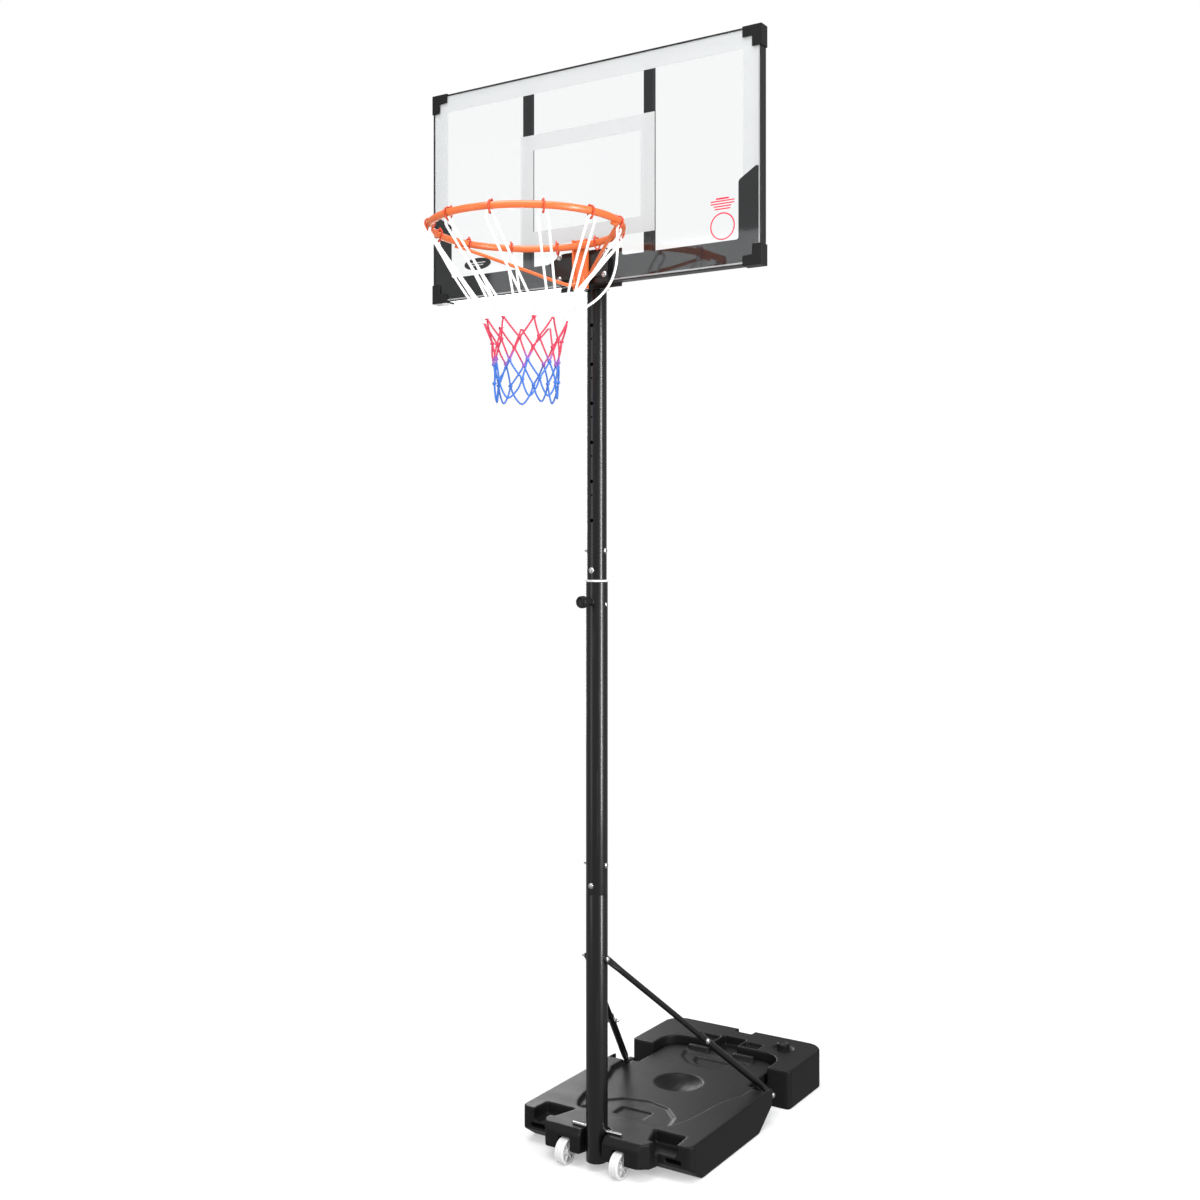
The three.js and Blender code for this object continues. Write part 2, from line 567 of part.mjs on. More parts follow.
function ballast(cavity, wall) {
  return cavity(wall + 1);
}

// ---------------------------------------------------------------- filler cap

function gasket() {
  const seat = REAR_TANK.top - FILLER.wellDepth + GAP;
  return ringWall(CAP.outer / 2, FILLER.bore / 2, seat, seat + CAP.gasket);
}

function fillerCap() {
  const under = REAR_TANK.top - FILLER.wellDepth + 2 * GAP + CAP.gasket;
  const plug = FILLER.bore / 2 - CAP.plugFit;
  const top = under + CAP.height;
  return turned([
    [0, under - CAP.plugDepth], [plug, under - CAP.plugDepth], [plug, under], [CAP.outer / 2, under],
    [CAP.outer / 2, top - 2], [CAP.outer / 2 - 2, top], [0, top],
  ]);
}

// ---------------------------------------------------------------- wheels, rod and braces

// A moulded wheel about Z: tread, web, hub, and straight ribs between hub and tread.
function wheel() {
  const half = WHEEL.width / 2;
  const inside = WHEEL.radius - WHEEL.rim;
  let made = turned([
    [WHEEL.bore, -half], [WHEEL.hub, -half], [WHEEL.hub, -WHEEL.web / 2], [inside, -WHEEL.web / 2],
    [inside, -half], [WHEEL.radius - 2, -half], [WHEEL.radius, -half + 2], [WHEEL.radius, half - 2],
    [WHEEL.radius - 2, half], [inside, half], [inside, WHEEL.web / 2], [WHEEL.hub, WHEEL.web / 2],
    [WHEEL.hub, half], [WHEEL.bore, half], [WHEEL.bore, -half],
  ]);
  for (let k = 0; k < WHEEL.ribs; k += 1) {
    const rib = block([WHEEL.hub - 2, inside + 1], [-1.4, 1.4], [-half + 2, half - 2]);
    made = made.add(rib.rotate([0, 0, (360 * k) / WHEEL.ribs]));
  }
  return made;
}

const axlePin = () => disc(AXLE.radius, -AXLE.half, AXLE.half, SMALL_FACETS);

const lockRod = () => disc(LOCK_ROD.diameter / 2, -LOCK_ROD.length / 2, LOCK_ROD.length / 2, SMALL_FACETS);

// A brace runs from the pole bolt down to the ear on the front tank.
const braceStart = new THREE.Vector3(poleRadius + GAP + BRACE.plate / 2, 0, braceHeight);
const braceEnd = new THREE.Vector3(braceFoot.x, braceFoot.y, braceFoot.z);
const braceLength = braceStart.distanceTo(braceEnd);

// The frame of the right brace: Z down its length and Y level.
const braceDown = braceEnd.clone().sub(braceStart).normalize();
const braceLevel = new THREE.Vector3().crossVectors(TO_TOP, braceDown).normalize();
const braceFrame = new THREE.Matrix4()
  .makeBasis(new THREE.Vector3().crossVectors(braceLevel, braceDown), braceLevel, braceDown)
  .setPosition(braceStart);

// The flattened end of a brace: the tube's round end drawn down to a flat eye across X.
function flattenedEnd(radius, from, eye) {
  const corners = [];
  for (let k = 0; k < SMALL_FACETS; k += 1) {
    const angle = (2 * Math.PI * k) / SMALL_FACETS;
    const [c, s] = [Math.cos(angle), Math.sin(angle)];
    corners.push(new THREE.Vector3(radius * s, -radius * c, from).applyMatrix4(braceFrame));
    for (const face of [-BRACE.plate / 2, BRACE.plate / 2]) {
      corners.push(new THREE.Vector3(eye.x + face, eye.y + BRACE.eye * c, eye.z + BRACE.eye * s));
    }
  }
  const seat = BOLT.head / 2 + 1;
  const flat = BRACE.plate / 2;
  return solid(new ConvexGeometry(corners))
    .subtract(hole(boltHole, -20, 20, TO_RIGHT, eye.x, eye.y, eye.z))
    .subtract(hole(seat, flat, flat + 20, TO_RIGHT, eye.x, eye.y, eye.z));
}

const braceBoltAt = braceLength * BRACE.split;

function boltBored(tube) {
  const cutter = disc(BRACE_BOLT.shank / 2 + BRACE_BOLT.fit, -30, 30, SMALL_FACETS);
  return tube.subtract(placed(cutter, TO_REAR, 0, 0, braceBoltAt));
}

function upperBrace() {
  const end = braceBoltAt + BRACE.overlap / 2;
  const start = BRACE.flattened;
  const tube = disc(BRACE.upper / 2, start, end, SMALL_FACETS)
    .subtract(disc(BRACE.upper / 2 - BRACE.wall, start + 10, end + 1, SMALL_FACETS));
  return boltBored(tube).transform(braceFrame.elements)
    .add(flattenedEnd(BRACE.upper / 2, start + 1, braceStart))
    .subtract(disc(poleRadius + GAP, braceHeight - 60, braceHeight + 60));
}

function lowerBrace() {
  const start = braceBoltAt - BRACE.overlap / 2;
  const end = braceLength - BRACE.flattened;
  const { inner, thickness, length, top } = BRACE_EAR;
  const tube = disc(BRACE.lower / 2, start, end, SMALL_FACETS)
    .subtract(disc(BRACE.upper / 2 + BRACE.fit, start - 1, end - 10, SMALL_FACETS));
  const ear = block([inner - GAP, inner + thickness + GAP],
    [FRONT_TANK.rear - 20, FRONT_TANK.rear + length + GAP], [0, top + GAP]);
  return boltBored(tube).transform(braceFrame.elements)
    .add(flattenedEnd(BRACE.lower / 2, end - 1, braceEnd)).subtract(ear);
}

function braceMiddleBolt() {
  const bolt = placed(throughBolt(BRACE.lower, BRACE_BOLT.shank), TO_COURT, 0, 0, braceBoltAt);
  return bolt.transform(braceFrame.elements);
}

const braceTopBolt = () => throughBolt(2 * (poleRadius + GAP + BRACE.plate));

function braceFootBolt() {
  const span = BRACE_EAR.thickness + GAP + BRACE.plate;
  const centre = BRACE_EAR.inner + span / 2;
  return placed(throughBolt(span), TO_RIGHT, centre, braceFoot.y, braceFoot.z);
}

// ---------------------------------------------------------------- backboard

// A frame tube's section: a box tube with a thin edge standing forward round the panel. The
// section is drawn with its outer face at u = 0, u running inwards and v to the rear.
function frameSection() {
  const depth = frameRear - frameFront;
  const edge = BOARD.sheetEdge - GAP;
  const reach = frameFront - BOARD.front;
  const shape = outline([
    [0, -reach], [edge, -reach], [edge, 0], [FRAME.width, 0], [FRAME.width, depth], [0, depth],
  ]);
  shape.holes.push(new THREE.Path([
    new THREE.Vector2(FRAME.wall, FRAME.wall), new THREE.Vector2(FRAME.wall, depth - FRAME.wall),
    new THREE.Vector2(FRAME.width - FRAME.wall, depth - FRAME.wall),
    new THREE.Vector2(FRAME.width - FRAME.wall, FRAME.wall),
  ]));
  return shape;
}

function frameTube(length) {
  return solid(new THREE.ExtrudeGeometry(frameSection(), { depth: length, bevelEnabled: false }));
}

// Places a frame tube by the directions of its section's u, of its v, and of its length.
function frameMember(length, inward, along, x, z) {
  const rear = new THREE.Vector3(0, 1, 0);
  const place = new THREE.Matrix4().makeBasis(inward, rear, along);
  place.setPosition(x, frameFront, z);
  return frameTube(length).transform(place.elements);
}

function frameTop() {
  const down = new THREE.Vector3(0, 0, -1);
  return frameMember(BOARD.width, down, new THREE.Vector3(1, 0, 0), -boardHalf, boardTop);
}

function frameBottom() {
  let tube = frameMember(BOARD.width, new THREE.Vector3(0, 0, 1), new THREE.Vector3(-1, 0, 0), boardHalf,
    boardBottom);
  for (const side of [-1, 1]) tube = tube.subtract(mountHole(side, MOUNT_BOLTS.low));
  return tube;
}

function frameSide() {
  const length = BOARD.height - 2 * FRAME.width - 2 * GAP;
  return frameMember(length, new THREE.Vector3(-1, 0, 0), new THREE.Vector3(0, 0, 1), boardHalf,
    boardBottom + FRAME.width + GAP);
}

function rearPost() {
  const x = [POST.x - POST.width / 2, POST.x + POST.width / 2];
  const y = [frameFront, frameFront + POST.depth];
  const z = [boardBottom + FRAME.width + GAP, boardTop - FRAME.width - GAP];
  const inside = block([x[0] + POST.wall, x[1] - POST.wall], [y[0] + POST.wall, y[1] - POST.wall],
    [z[0] - 5, z[1] + 5]);
  return block(x, y, z).subtract(inside);
}

function panel() {
  const half = boardHalf - BOARD.sheetEdge;
  let sheet = block([-half, half], [BOARD.front, BOARD.front + BOARD.panel],
    [boardBottom + BOARD.sheetEdge, boardTop - BOARD.sheetEdge]);
  for (const side of [-1, 1]) {
    sheet = sheet.subtract(mountHole(side, MOUNT_BOLTS.low)).subtract(mountHole(side, MOUNT_BOLTS.high));
  }
  return sheet;
}

// The top right corner cap: an L of moulded plastic that wraps the frame on four sides.
function cornerCap() {
  const x = [boardHalf - CORNER.leg, boardHalf + CORNER.proud];
  const y = [BOARD.front - CORNER.proud, frameRear + CORNER.proud];
  const z = [boardTop - CORNER.leg, boardTop + CORNER.proud];
  const inside = block([x[0] - 5, boardHalf + GAP], [BOARD.front - GAP, frameRear + GAP],
    [z[0] - 5, boardTop + GAP]);
  const opening = block([x[0] - 5, boardHalf - CORNER.width], [y[0] - 5, y[1] + 5],
    [z[0] - 5, boardTop - CORNER.width]);
  return block(x, y, z).subtract(inside).subtract(opening);
}

// Turns the top right cap into the cap of another corner.
function cornerAt(side, upright) {
  const cap = mirrored(cornerCap(), side);
  if (upright > 0) return cap;
  return cap.translate([0, 0, -(boardBottom + boardTop) / 2]).mirror([0, 0, 1])
    .translate([0, 0, (boardBottom + boardTop) / 2]);
}

function mountHole(side, above) {
  return hole(MOUNT_BOLTS.shank / 2 + BOLT.fit, -60, 60, TO_COURT, side * MOUNT_BOLTS.x, BOARD.front,
    boardBottom + above);
}

function bracketBoltHeights() {
  return [poleTop - 12, poleTop - 46];
}

// The steel bracket behind the frame: a back plate with two ears that straddle the pole.
function poleBracket() {
  const low = boardBottom + POLE_BRACKET.bottom;
  const high = boardBottom + POLE_BRACKET.top;
  const front = frameRear + GAP;
  const inner = slidingRadius + GAP;
  let bracket = block([-POLE_BRACKET.halfWidth, POLE_BRACKET.halfWidth], [front, front + POLE_BRACKET.plate],
    [low, high]);
  for (const side of [-1, 1]) {
    const outer = inner + POLE_BRACKET.ear;
    const ear = block([inner, outer], [front + 1, front + POLE_BRACKET.earDepth], [low, high]);
    bracket = bracket.add(mirrored(ear, side));
    bracket = bracket.subtract(mountHole(side, MOUNT_BOLTS.low)).subtract(mountHole(side, MOUNT_BOLTS.high));
  }
  for (const z of bracketBoltHeights()) bracket = bracket.subtract(crossHole(TO_RIGHT, z));
  return bracket;
}

const bracketBolt = () => throughBolt(2 * (slidingRadius + GAP + POLE_BRACKET.ear));

// The pressed black plate in front of the panel that the rim bracket is bolted to.
function mountPlate() {
  const { halfWidth, bottom, top, depth, sheet, rim } = MOUNT_PLATE;
  const low = boardBottom + bottom;
  const high = boardBottom + top;
  const back = BOARD.front - GAP;
  const dished = (grow, from, to) => {
    const round = MOUNT_PLATE.corner - grow;
    const half = halfWidth - grow;
    const shape = roundedRectangle(-half, half, low + grow, high - grow, round, round);
    const prism = extruded(shape, to - from, 5).translate(0, 0, from);
    return solid(prism.rotateX(Math.PI / 2).translate(0, back, 0));
  };
  let plate = dished(0, 0, sheet).add(dished(rim, 0, depth)).subtract(dished(rim + sheet, -5, depth - sheet));
  for (const side of [-1, 1]) {
    plate = plate.subtract(mountHole(side, MOUNT_BOLTS.low)).subtract(mountHole(side, MOUNT_BOLTS.high));
  }
  return plate;
}

function mountBolt() {
  const front = BOARD.front - GAP - MOUNT_PLATE.depth;
  const rear = frameRear + GAP + POLE_BRACKET.plate;
  return { span: rear - front, centre: (front + rear) / 2 };
}

// ---------------------------------------------------------------- rim

// A wire loop under the ring tube that the net hangs on.
function netHook() {
  const reach = RIM.tube / 2 + HOOK.wire / 2 - 0.5;
  const path = new THREE.CatmullRomCurve3([
    new THREE.Vector3(reach * 0.7, 0, reach * 0.7), new THREE.Vector3(reach, 0, 0),
    new THREE.Vector3(reach * 0.6, 0, -reach - HOOK.drop * 0.5), new THREE.Vector3(0, 0, -reach - HOOK.drop),
    new THREE.Vector3(-reach * 0.6, 0, -reach - HOOK.drop * 0.5), new THREE.Vector3(-reach, 0, 0),
    new THREE.Vector3(-reach * 0.7, 0, reach * 0.7),
  ]);
  const section = new THREE.Shape().absarc(0, 0, HOOK.wire / 2, 0, 2 * Math.PI, false);
  return solid(new THREE.ExtrudeGeometry(section, { steps: 6, extrudePath: path, curveSegments: 2 }));
}

function ring() {
  let made = solid(new THREE.TorusGeometry(ringRadius, RIM.tube / 2, RIM.sides, RIM.segments));
  for (let k = 0; k < HOOK.count; k += 1) {
    const hook = netHook().translate([ringRadius, 0, 0]).rotate([0, 0, HOOK.turn + (360 * k) / HOOK.count]);
    made = made.add(hook);
  }
  return made.translate([0, ringY, rimHeight]);
}

// The folded channel that the ring is welded to, wider in its webs at the top.
function rimBracket() {
  const { halfWidth, above, below, sheet, webTop, webBottom } = RIM_BRACKET;
  const face = BOARD.front - 2 * GAP - MOUNT_PLATE.depth;
  const high = rimHeight + above;
  const low = rimHeight - below;
  const plate = block([-halfWidth, halfWidth], [face - sheet, face], [low, high]);
  const web = acrossX(outline([
    [face - webBottom, low], [face - 1, low], [face - 1, high], [face - webTop, high],
  ]), halfWidth - sheet, halfWidth);
  const torus = solid(new THREE.TorusGeometry(ringRadius, RIM.tube / 2 + GAP, RIM.sides, RIM.segments))
    .translate([0, ringY, rimHeight]);
  return plate.add(web).add(mirrored(web, -1)).subtract(torus);
}

// A round bar from the underside of the ring down to the foot of the bracket.
function strut(radius = STRUT.diameter / 2) {
  const angle = THREE.MathUtils.degToRad(STRUT.ringAngle);
  const half = STRUT.diameter / 2;
  const face = BOARD.front - 2 * GAP - MOUNT_PLATE.depth - RIM_BRACKET.sheet;
  const top = new THREE.Vector3(ringRadius * Math.cos(angle), ringY + ringRadius * Math.sin(angle),
    rimHeight - RIM.tube / 2 - half);
  const bottom = new THREE.Vector3(STRUT.foot, face - half - GAP - 6,
    rimHeight - RIM_BRACKET.below + STRUT.footAbove);
  const length = top.distanceTo(bottom);
  const direction = top.clone().sub(bottom).normalize();
  const bar = placed(disc(radius, 0, length, SMALL_FACETS), direction, bottom.x, bottom.y, bottom.z);
  const foot = disc(radius, -14, 6, SMALL_FACETS).translate([bottom.x, bottom.y, bottom.z]);
  const torus = solid(new THREE.TorusGeometry(ringRadius, RIM.tube / 2 + GAP, RIM.sides, RIM.segments))
    .translate([0, ringY, rimHeight]);
  return bar.add(foot).subtract(torus);
}

// The net's outer shape, a thin funnel open at both ends.
function net() {
  const top = rimHeight - RIM.tube / 2 - HOOK.drop - NET.below;
  const line = [
    [ringRadius - NET.topInset, 0], [NET.waistRadius, NET.waist],
    [NET.tailRadius, NET.tail], [NET.tailRadius, NET.length],
  ];
  const outer = line.map(([r, down]) => [r, top - down]).reverse();
  const inner = line.map(([r, down]) => [r - NET.wall, top - down]);
  const past = strut(STRUT.diameter / 2 + NET.strutFit);
  return turned([...outer, ...inner, outer[0]], 36).translate([0, ringY, 0])
    .subtract(past).subtract(mirrored(past, -1));
}

// ---------------------------------------------------------------- assembly

function bolted(name, shape, x, y, z, axis) {
  const mesh = piece(name, shape, steel);
  mesh.position.set(x, y, z);
  mesh.quaternion.setFromUnitVectors(TO_TOP, axis);
  return mesh;
}

const sides = [['right', 1], ['left', -1]];

function poleGroup() {
  const span = POLE.outer;
  const bushHeight = middleTop - LOWER_BUSH.belowTop;
  const parts = group(
    piece('lower_pole', lowerPole(), paint),
    piece('middle_pole', middlePole(), paint),
    piece('guide_bush', guideBush(), white),
    piece('lower_guide_bush', lowerGuideBush(), white),
    piece('lock_boss', lockBoss(), paint),
    bolted('pole_joint_bolt_front', throughBolt(span), 0, 0, seam + JOINT_BOLTS.first, TO_COURT),
    bolted('pole_joint_bolt_side', throughBolt(span), 0, 0, seam + JOINT_BOLTS.second, TO_RIGHT),
    bolted('brace_top_bolt', braceTopBolt(), 0, 0, braceHeight, TO_RIGHT),
    bolted('lock_rod', lockRod(), 0, 0, rodHeight, TO_RIGHT),
  );
  for (const [side, sign] of sides) {
    const axis = new THREE.Vector3(sign, 0, 0);
    parts.add(bolted(`bush_rivet_${side}`, bushRivet(), 0, 0, bushHeight, axis));
  }
  return parts;
}

function baseGroup() {
  const parts = group(
    piece('front_tank', frontTank(), tankPlastic),
    piece('rear_tank', rearTank(), tankPlastic),
    piece('front_ballast', ballast(frontCavity, FRONT_TANK.wall), water),
    piece('rear_ballast', ballast(rearCavity, REAR_TANK.wall), water),
  );
  for (const [side, sign] of sides) {
    parts.add(
      piece(`brace_upper_${side}`, mirrored(upperBrace(), sign), paint),
      piece(`brace_lower_${side}`, mirrored(lowerBrace(), sign), paint),
      piece(`brace_middle_bolt_${side}`, mirrored(braceMiddleBolt(), sign), steel),
      piece(`brace_foot_bolt_${side}`, mirrored(braceFootBolt(), sign), steel),
      bolted(`wheel_axle_${side}`, axlePin(), sign * WHEEL.x, WHEEL.y, WHEEL.radius + 0.5, TO_RIGHT),
    );
  }
  return parts;
}

function wheelGroup() {
  const parts = new THREE.Group();
  for (const [side, sign] of sides) {
    const mesh = piece(`wheel_${side}`, wheel(), white);
    mesh.position.set(sign * WHEEL.x, WHEEL.y, WHEEL.radius + 0.5);
    mesh.quaternion.setFromUnitVectors(TO_TOP, TO_RIGHT);
    parts.add(mesh);
  }
  return parts;
}

function capGroup() {
  const parts = group(piece('cap_gasket', gasket(), rubber), piece('filler_cap', fillerCap(), blackPlastic));
  parts.position.set(FILLER.x, FILLER.y, 0);
  return parts;
}

function lockGroup() {
  const parts = group(piece('lock_pin', lockPin(), steel), piece('lock_knob', lockKnob(), blackPlastic));
  parts.position.set(0, 0, lockHeight);
  parts.quaternion.setFromUnitVectors(TO_TOP, TO_COURT);
  return parts;
}

function boardGroup() {
  const parts = group(
    piece('board_panel', panel(), clear),
    piece('frame_top', frameTop(), paint),
    piece('frame_bottom', frameBottom(), paint),
    piece('pole_bracket', poleBracket(), paint),
    piece('mount_plate', mountPlate(), paint),
  );
  const { span, centre } = mountBolt();
  for (const [side, sign] of sides) {
    parts.add(
      piece(`frame_${side}`, mirrored(frameSide(), sign), paint),
      piece(`rear_post_${side}`, mirrored(rearPost(), sign), paint),
      piece(`corner_cap_top_${side}`, cornerAt(sign, 1), blackPlastic),
      piece(`corner_cap_bottom_${side}`, cornerAt(sign, -1), blackPlastic),
    );
    for (const [level, above] of [['low', MOUNT_BOLTS.low], ['high', MOUNT_BOLTS.high]]) {
      const bolt = throughBolt(span, MOUNT_BOLTS.shank);
      const x = sign * MOUNT_BOLTS.x;
      parts.add(bolted(`mount_bolt_${level}_${side}`, bolt, x, centre, boardBottom + above, TO_COURT));
    }
  }
  return parts;
}

function rimGroup() {
  const parts = group(
    piece('rim_ring', ring(), orange),
    piece('rim_bracket', rimBracket(), orange),
    piece('net', net(), cord),
  );
  for (const [side, sign] of sides) parts.add(piece(`rim_strut_${side}`, mirrored(strut(), sign), orange));
  return parts;
}

function upperGroup() {
  const span = POLE.slidingOuter;
  const parts = group(
    piece('inner_pole', innerPole(), paint),
    piece('upper_pole', upperPole(), paint),
    bolted('upper_joint_bolt_front', throughBolt(span), 0, 0, upperBottom + JOINT_BOLTS.first, TO_COURT),
    bolted('upper_joint_bolt_side', throughBolt(span), 0, 0, upperBottom + JOINT_BOLTS.second, TO_RIGHT),
    boardGroup(), rimGroup(),
  );
  bracketBoltHeights().forEach((z, k) => {
    parts.add(bolted(`bracket_bolt_${k === 0 ? 'high' : 'low'}`, bracketBolt(), 0, 0, z, TO_RIGHT));
  });
  return parts;
}

const hoop = group(poleGroup(), baseGroup(), wheelGroup(), capGroup(), lockGroup(), upperGroup());
const extent = new THREE.Box3().setFromObject(hoop);
hoop.position.y = -(extent.min.y + extent.max.y) / 2;

export default hoop;
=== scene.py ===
# %% [markdown]
# # A portable basketball hoop
#
# The hoop stands on two blow-moulded water tanks. A three-part steel pole carries a clear board,
# and a ring of bent tube hangs the net. The sizes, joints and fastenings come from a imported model,
# which is loaded first. Each cell after that makes one piece or one finish.
#
# Lengths are in metres, Z is up, and the court is towards -Y.

# %% Load the frame
import math
import random

import bmesh
import bpy
from mathutils import Matrix, Vector
from mathutils.geometry import tessellate_polygon


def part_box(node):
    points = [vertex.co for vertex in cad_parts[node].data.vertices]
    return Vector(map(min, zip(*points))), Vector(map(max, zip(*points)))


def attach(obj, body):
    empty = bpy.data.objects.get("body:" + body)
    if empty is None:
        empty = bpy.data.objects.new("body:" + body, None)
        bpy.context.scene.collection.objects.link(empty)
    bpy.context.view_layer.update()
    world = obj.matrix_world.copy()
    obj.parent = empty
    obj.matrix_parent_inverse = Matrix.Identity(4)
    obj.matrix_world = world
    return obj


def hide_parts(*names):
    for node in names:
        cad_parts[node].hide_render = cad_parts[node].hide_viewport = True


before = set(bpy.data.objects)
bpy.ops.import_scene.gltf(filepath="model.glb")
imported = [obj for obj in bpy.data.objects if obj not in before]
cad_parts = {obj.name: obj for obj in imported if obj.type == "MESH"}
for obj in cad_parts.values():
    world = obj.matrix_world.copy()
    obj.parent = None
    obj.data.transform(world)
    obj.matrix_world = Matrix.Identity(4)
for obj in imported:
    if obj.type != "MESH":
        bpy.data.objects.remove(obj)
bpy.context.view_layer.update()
MM = 0.001
X, Y, Z = Vector((1, 0, 0)), Vector((0, 1, 0)), Vector((0, 0, 1))
COURT = -Y
SIDES = (("right", 1), ("left", -1))

# %% [markdown]
# ## The camera
#
# A level camera keeps the pole upright in the picture. A small shift frames the whole hoop without
# tilting, as a shift lens does for a tall building.


# %% Place the camera
def set_camera(place, turn, lens, shift):
    data = bpy.data.cameras.new("camera")
    data.lens = lens
    data.sensor_width = 36
    data.shift_x, data.shift_y = shift
    data.clip_end = 100
    camera = bpy.data.objects.new("camera", data)
    camera.location = place
    camera.rotation_euler = (math.pi / 2, 0, turn)
    bpy.context.scene.collection.objects.link(camera)
    bpy.context.scene.camera = camera
    return camera


camera = set_camera(place=(2.0147, -3.315, 1.6309), turn=0.5716, lens=42.13, shift=(0.0061, -0.0372))
print("camera", round((Vector(camera.location) - Vector((0, 0, 1.5))).length, 2), "m from the pole")

# %% [markdown]
# ## Node trees as sums
#
# Shaders and geometry trees are both graphs of sockets. A `Wire` stands for one output socket, and
# its operators add Math nodes, so a pattern reads as the formula that it is. A `Graph` adds every
# other kind of node with one method.


# %% Wires and graphs
class Wire:
    """One output socket. Sums with numbers or other wires add Math nodes."""

    def __init__(self, graph, socket):
        self.graph = graph
        self.socket = socket

    def join(self, operation, first, second=None):
        values = {0: first} if second is None else {0: first, 1: second}
        return self.graph.add("ShaderNodeMath", {"operation": operation}, values)

    def __add__(self, other):
        return self.join("ADD", self, other)

    def __radd__(self, other):
        return self.join("ADD", other, self)

    def __sub__(self, other):
        return self.join("SUBTRACT", self, other)

    def __rsub__(self, other):
        return self.join("SUBTRACT", other, self)

    def __mul__(self, other):
        return self.join("MULTIPLY", self, other)

    def __rmul__(self, other):
        return self.join("MULTIPLY", other, self)

    def __truediv__(self, other):
        return self.join("DIVIDE", self, other)

    def __rtruediv__(self, other):
        return self.join("DIVIDE", other, self)

    def __pow__(self, other):
        return self.join("POWER", self, other)

    def sine(self):
        return self.join("SINE", self)

    def step(self, low, high):
        """0 below low, 1 above high, and a smooth rise between."""
        ranges = {"From Min": low, "From Max": high, "Value": self}
        return self.graph.add("ShaderNodeMapRange", {"interpolation_type": "SMOOTHSTEP"}, ranges)


class Graph:
    """A node tree that is filled by add()."""

    def __init__(self, tree):
        self.tree = tree
        tree.nodes.clear()

    def add(self, kind, settings=None, values=None, out=0):
        node = self.tree.nodes.new(kind)
        for key, value in (settings or {}).items():
            setattr(node, key, value)
        for key, value in (values or {}).items():
            self.feed(value, node.inputs[key])
        return Wire(self, node.outputs[out]) if len(node.outputs) else node

    def feed(self, value, socket):
        if isinstance(value, Wire):
            self.tree.links.new(value.socket, socket)
        else:
            socket.default_value = value

    def part(self, axis, vector):
        return self.add("ShaderNodeSeparateXYZ", None, {0: vector}, axis)

    def mix(self, share, first, second):
        """Mixes two colours. The colour sockets of a Mix node are its seventh and eighth."""
        ends = [c if isinstance(c, Wire) else (*c, 1) for c in (first, second)]
        return self.add("ShaderNodeMix", {"data_type": "RGBA"}, {0: share, 6: ends[0], 7: ends[1]}, 2)


# %% [markdown]
# ## Finishes
#
# Each finish is a Principled shader whose colour, roughness and bump vary a little, at the scale of
# the real process: powder coat dries to a fine orange peel, blow moulding leaves a leathery grain,
# and zinc plating has a cloudy brushed look. Patterns read object coordinates, so they need no UVs.


# %% A finish
class Finish(Graph):
    """A material with one Principled shader, and the patterns that feed it."""

    def __init__(self, name):
        self.material = bpy.data.materials.new(name)
        self.material.use_nodes = True
        super().__init__(self.material.node_tree)
        self.place = self.add("ShaderNodeTexCoord", out="Object")

    def noise(self, scale, detail=3, rough=0.55, stretch=(1, 1, 1)):
        place = self.place
        if stretch != (1, 1, 1):
            place = self.add("ShaderNodeMapping", None, {"Vector": self.place, "Scale": stretch})
        values = {"Vector": place, "Scale": scale, "Detail": detail, "Roughness": rough}
        return self.add("ShaderNodeTexNoise", None, values)

    def part(self, axis, vector=None):
        return super().part(axis, vector or self.place)

    def facing_up(self):
        normal = self.add("ShaderNodeNewGeometry", out="Normal")
        return self.part("Z", normal).step(0.5, 0.95)

    def bump(self, height, depth, strength=1.0):
        return self.add("ShaderNodeBump", None, {"Height": height, "Distance": depth, "Strength": strength})

    def surface(self, **sockets):
        values = {name.replace("_", " "): value for name, value in sockets.items()}
        return self.close(self.add("ShaderNodeBsdfPrincipled", None, values))

    def close(self, shader):
        self.add("ShaderNodeOutputMaterial", None, {"Surface": shader})
        return self.material


def grey(value, warm=0.0):
    return (value * (1 + warm), value, value * (1 - warm))


# %% [markdown]
# ## Painted steel
#
# The pole, braces and frame are powder coated: a sprayed powder melts into a skin with a faint orange
# peel. A plain black would look like a hole. The peel could be modelled, but it is only hundredths of
# a millimetre deep, so bump is enough, and the coat layer gives the clear highlight on top.


# %% Painted steel
def painted(name, dark, pale, low=0.24, high=0.38, coat=0.3):
    """Powder coat: orange peel, faint clouds and a few fine rub marks."""
    make = Finish(name)
    cloud = make.noise(7, 3)
    rubs = make.noise(90, 2, 0.6, (1, 1, 0.05)).step(0.62, 0.72)
    peel = make.noise(620, 2)
    dust = make.facing_up() * make.noise(40, 4) * 0.25
    return make.surface(
        Base_Color=make.mix(rubs * 0.35 + dust, dark, pale),
        Roughness=low + (high - low) * cloud + rubs * 0.1 + dust * 0.4,
        Coat_Weight=coat,
        Coat_Roughness=0.12,
        Normal=make.bump(peel + rubs * 0.2, 0.05 * MM, 0.7),
    )


pole_paint = painted("pole_paint", grey(0.0035), grey(0.016))
rim_paint = painted("rim_paint", (0.56, 0.110, 0.024), (0.70, 0.20, 0.065), 0.30, 0.42)
# The hooks are welded to the ring and carry its paint: this darker, redder copy of the ring's orange is
# painted shade.
hook_paint = painted("hook_paint", (0.46, 0.045, 0.012), (0.66, 0.11, 0.03), 0.34, 0.46, 0.1)
print("paints:", pole_paint.name, rim_paint.name, hook_paint.name)


# %% [markdown]
# ## Moulded plastics
#
# The tanks are blow-moulded polyethylene, with the leathery grain of the mould, and the caps, bushes and
# wheels are injected. One function makes them all, because only the grain, the sheen and the dust
# differ. Dust lies where the surface faces up, which the Geometry node's normal tells.


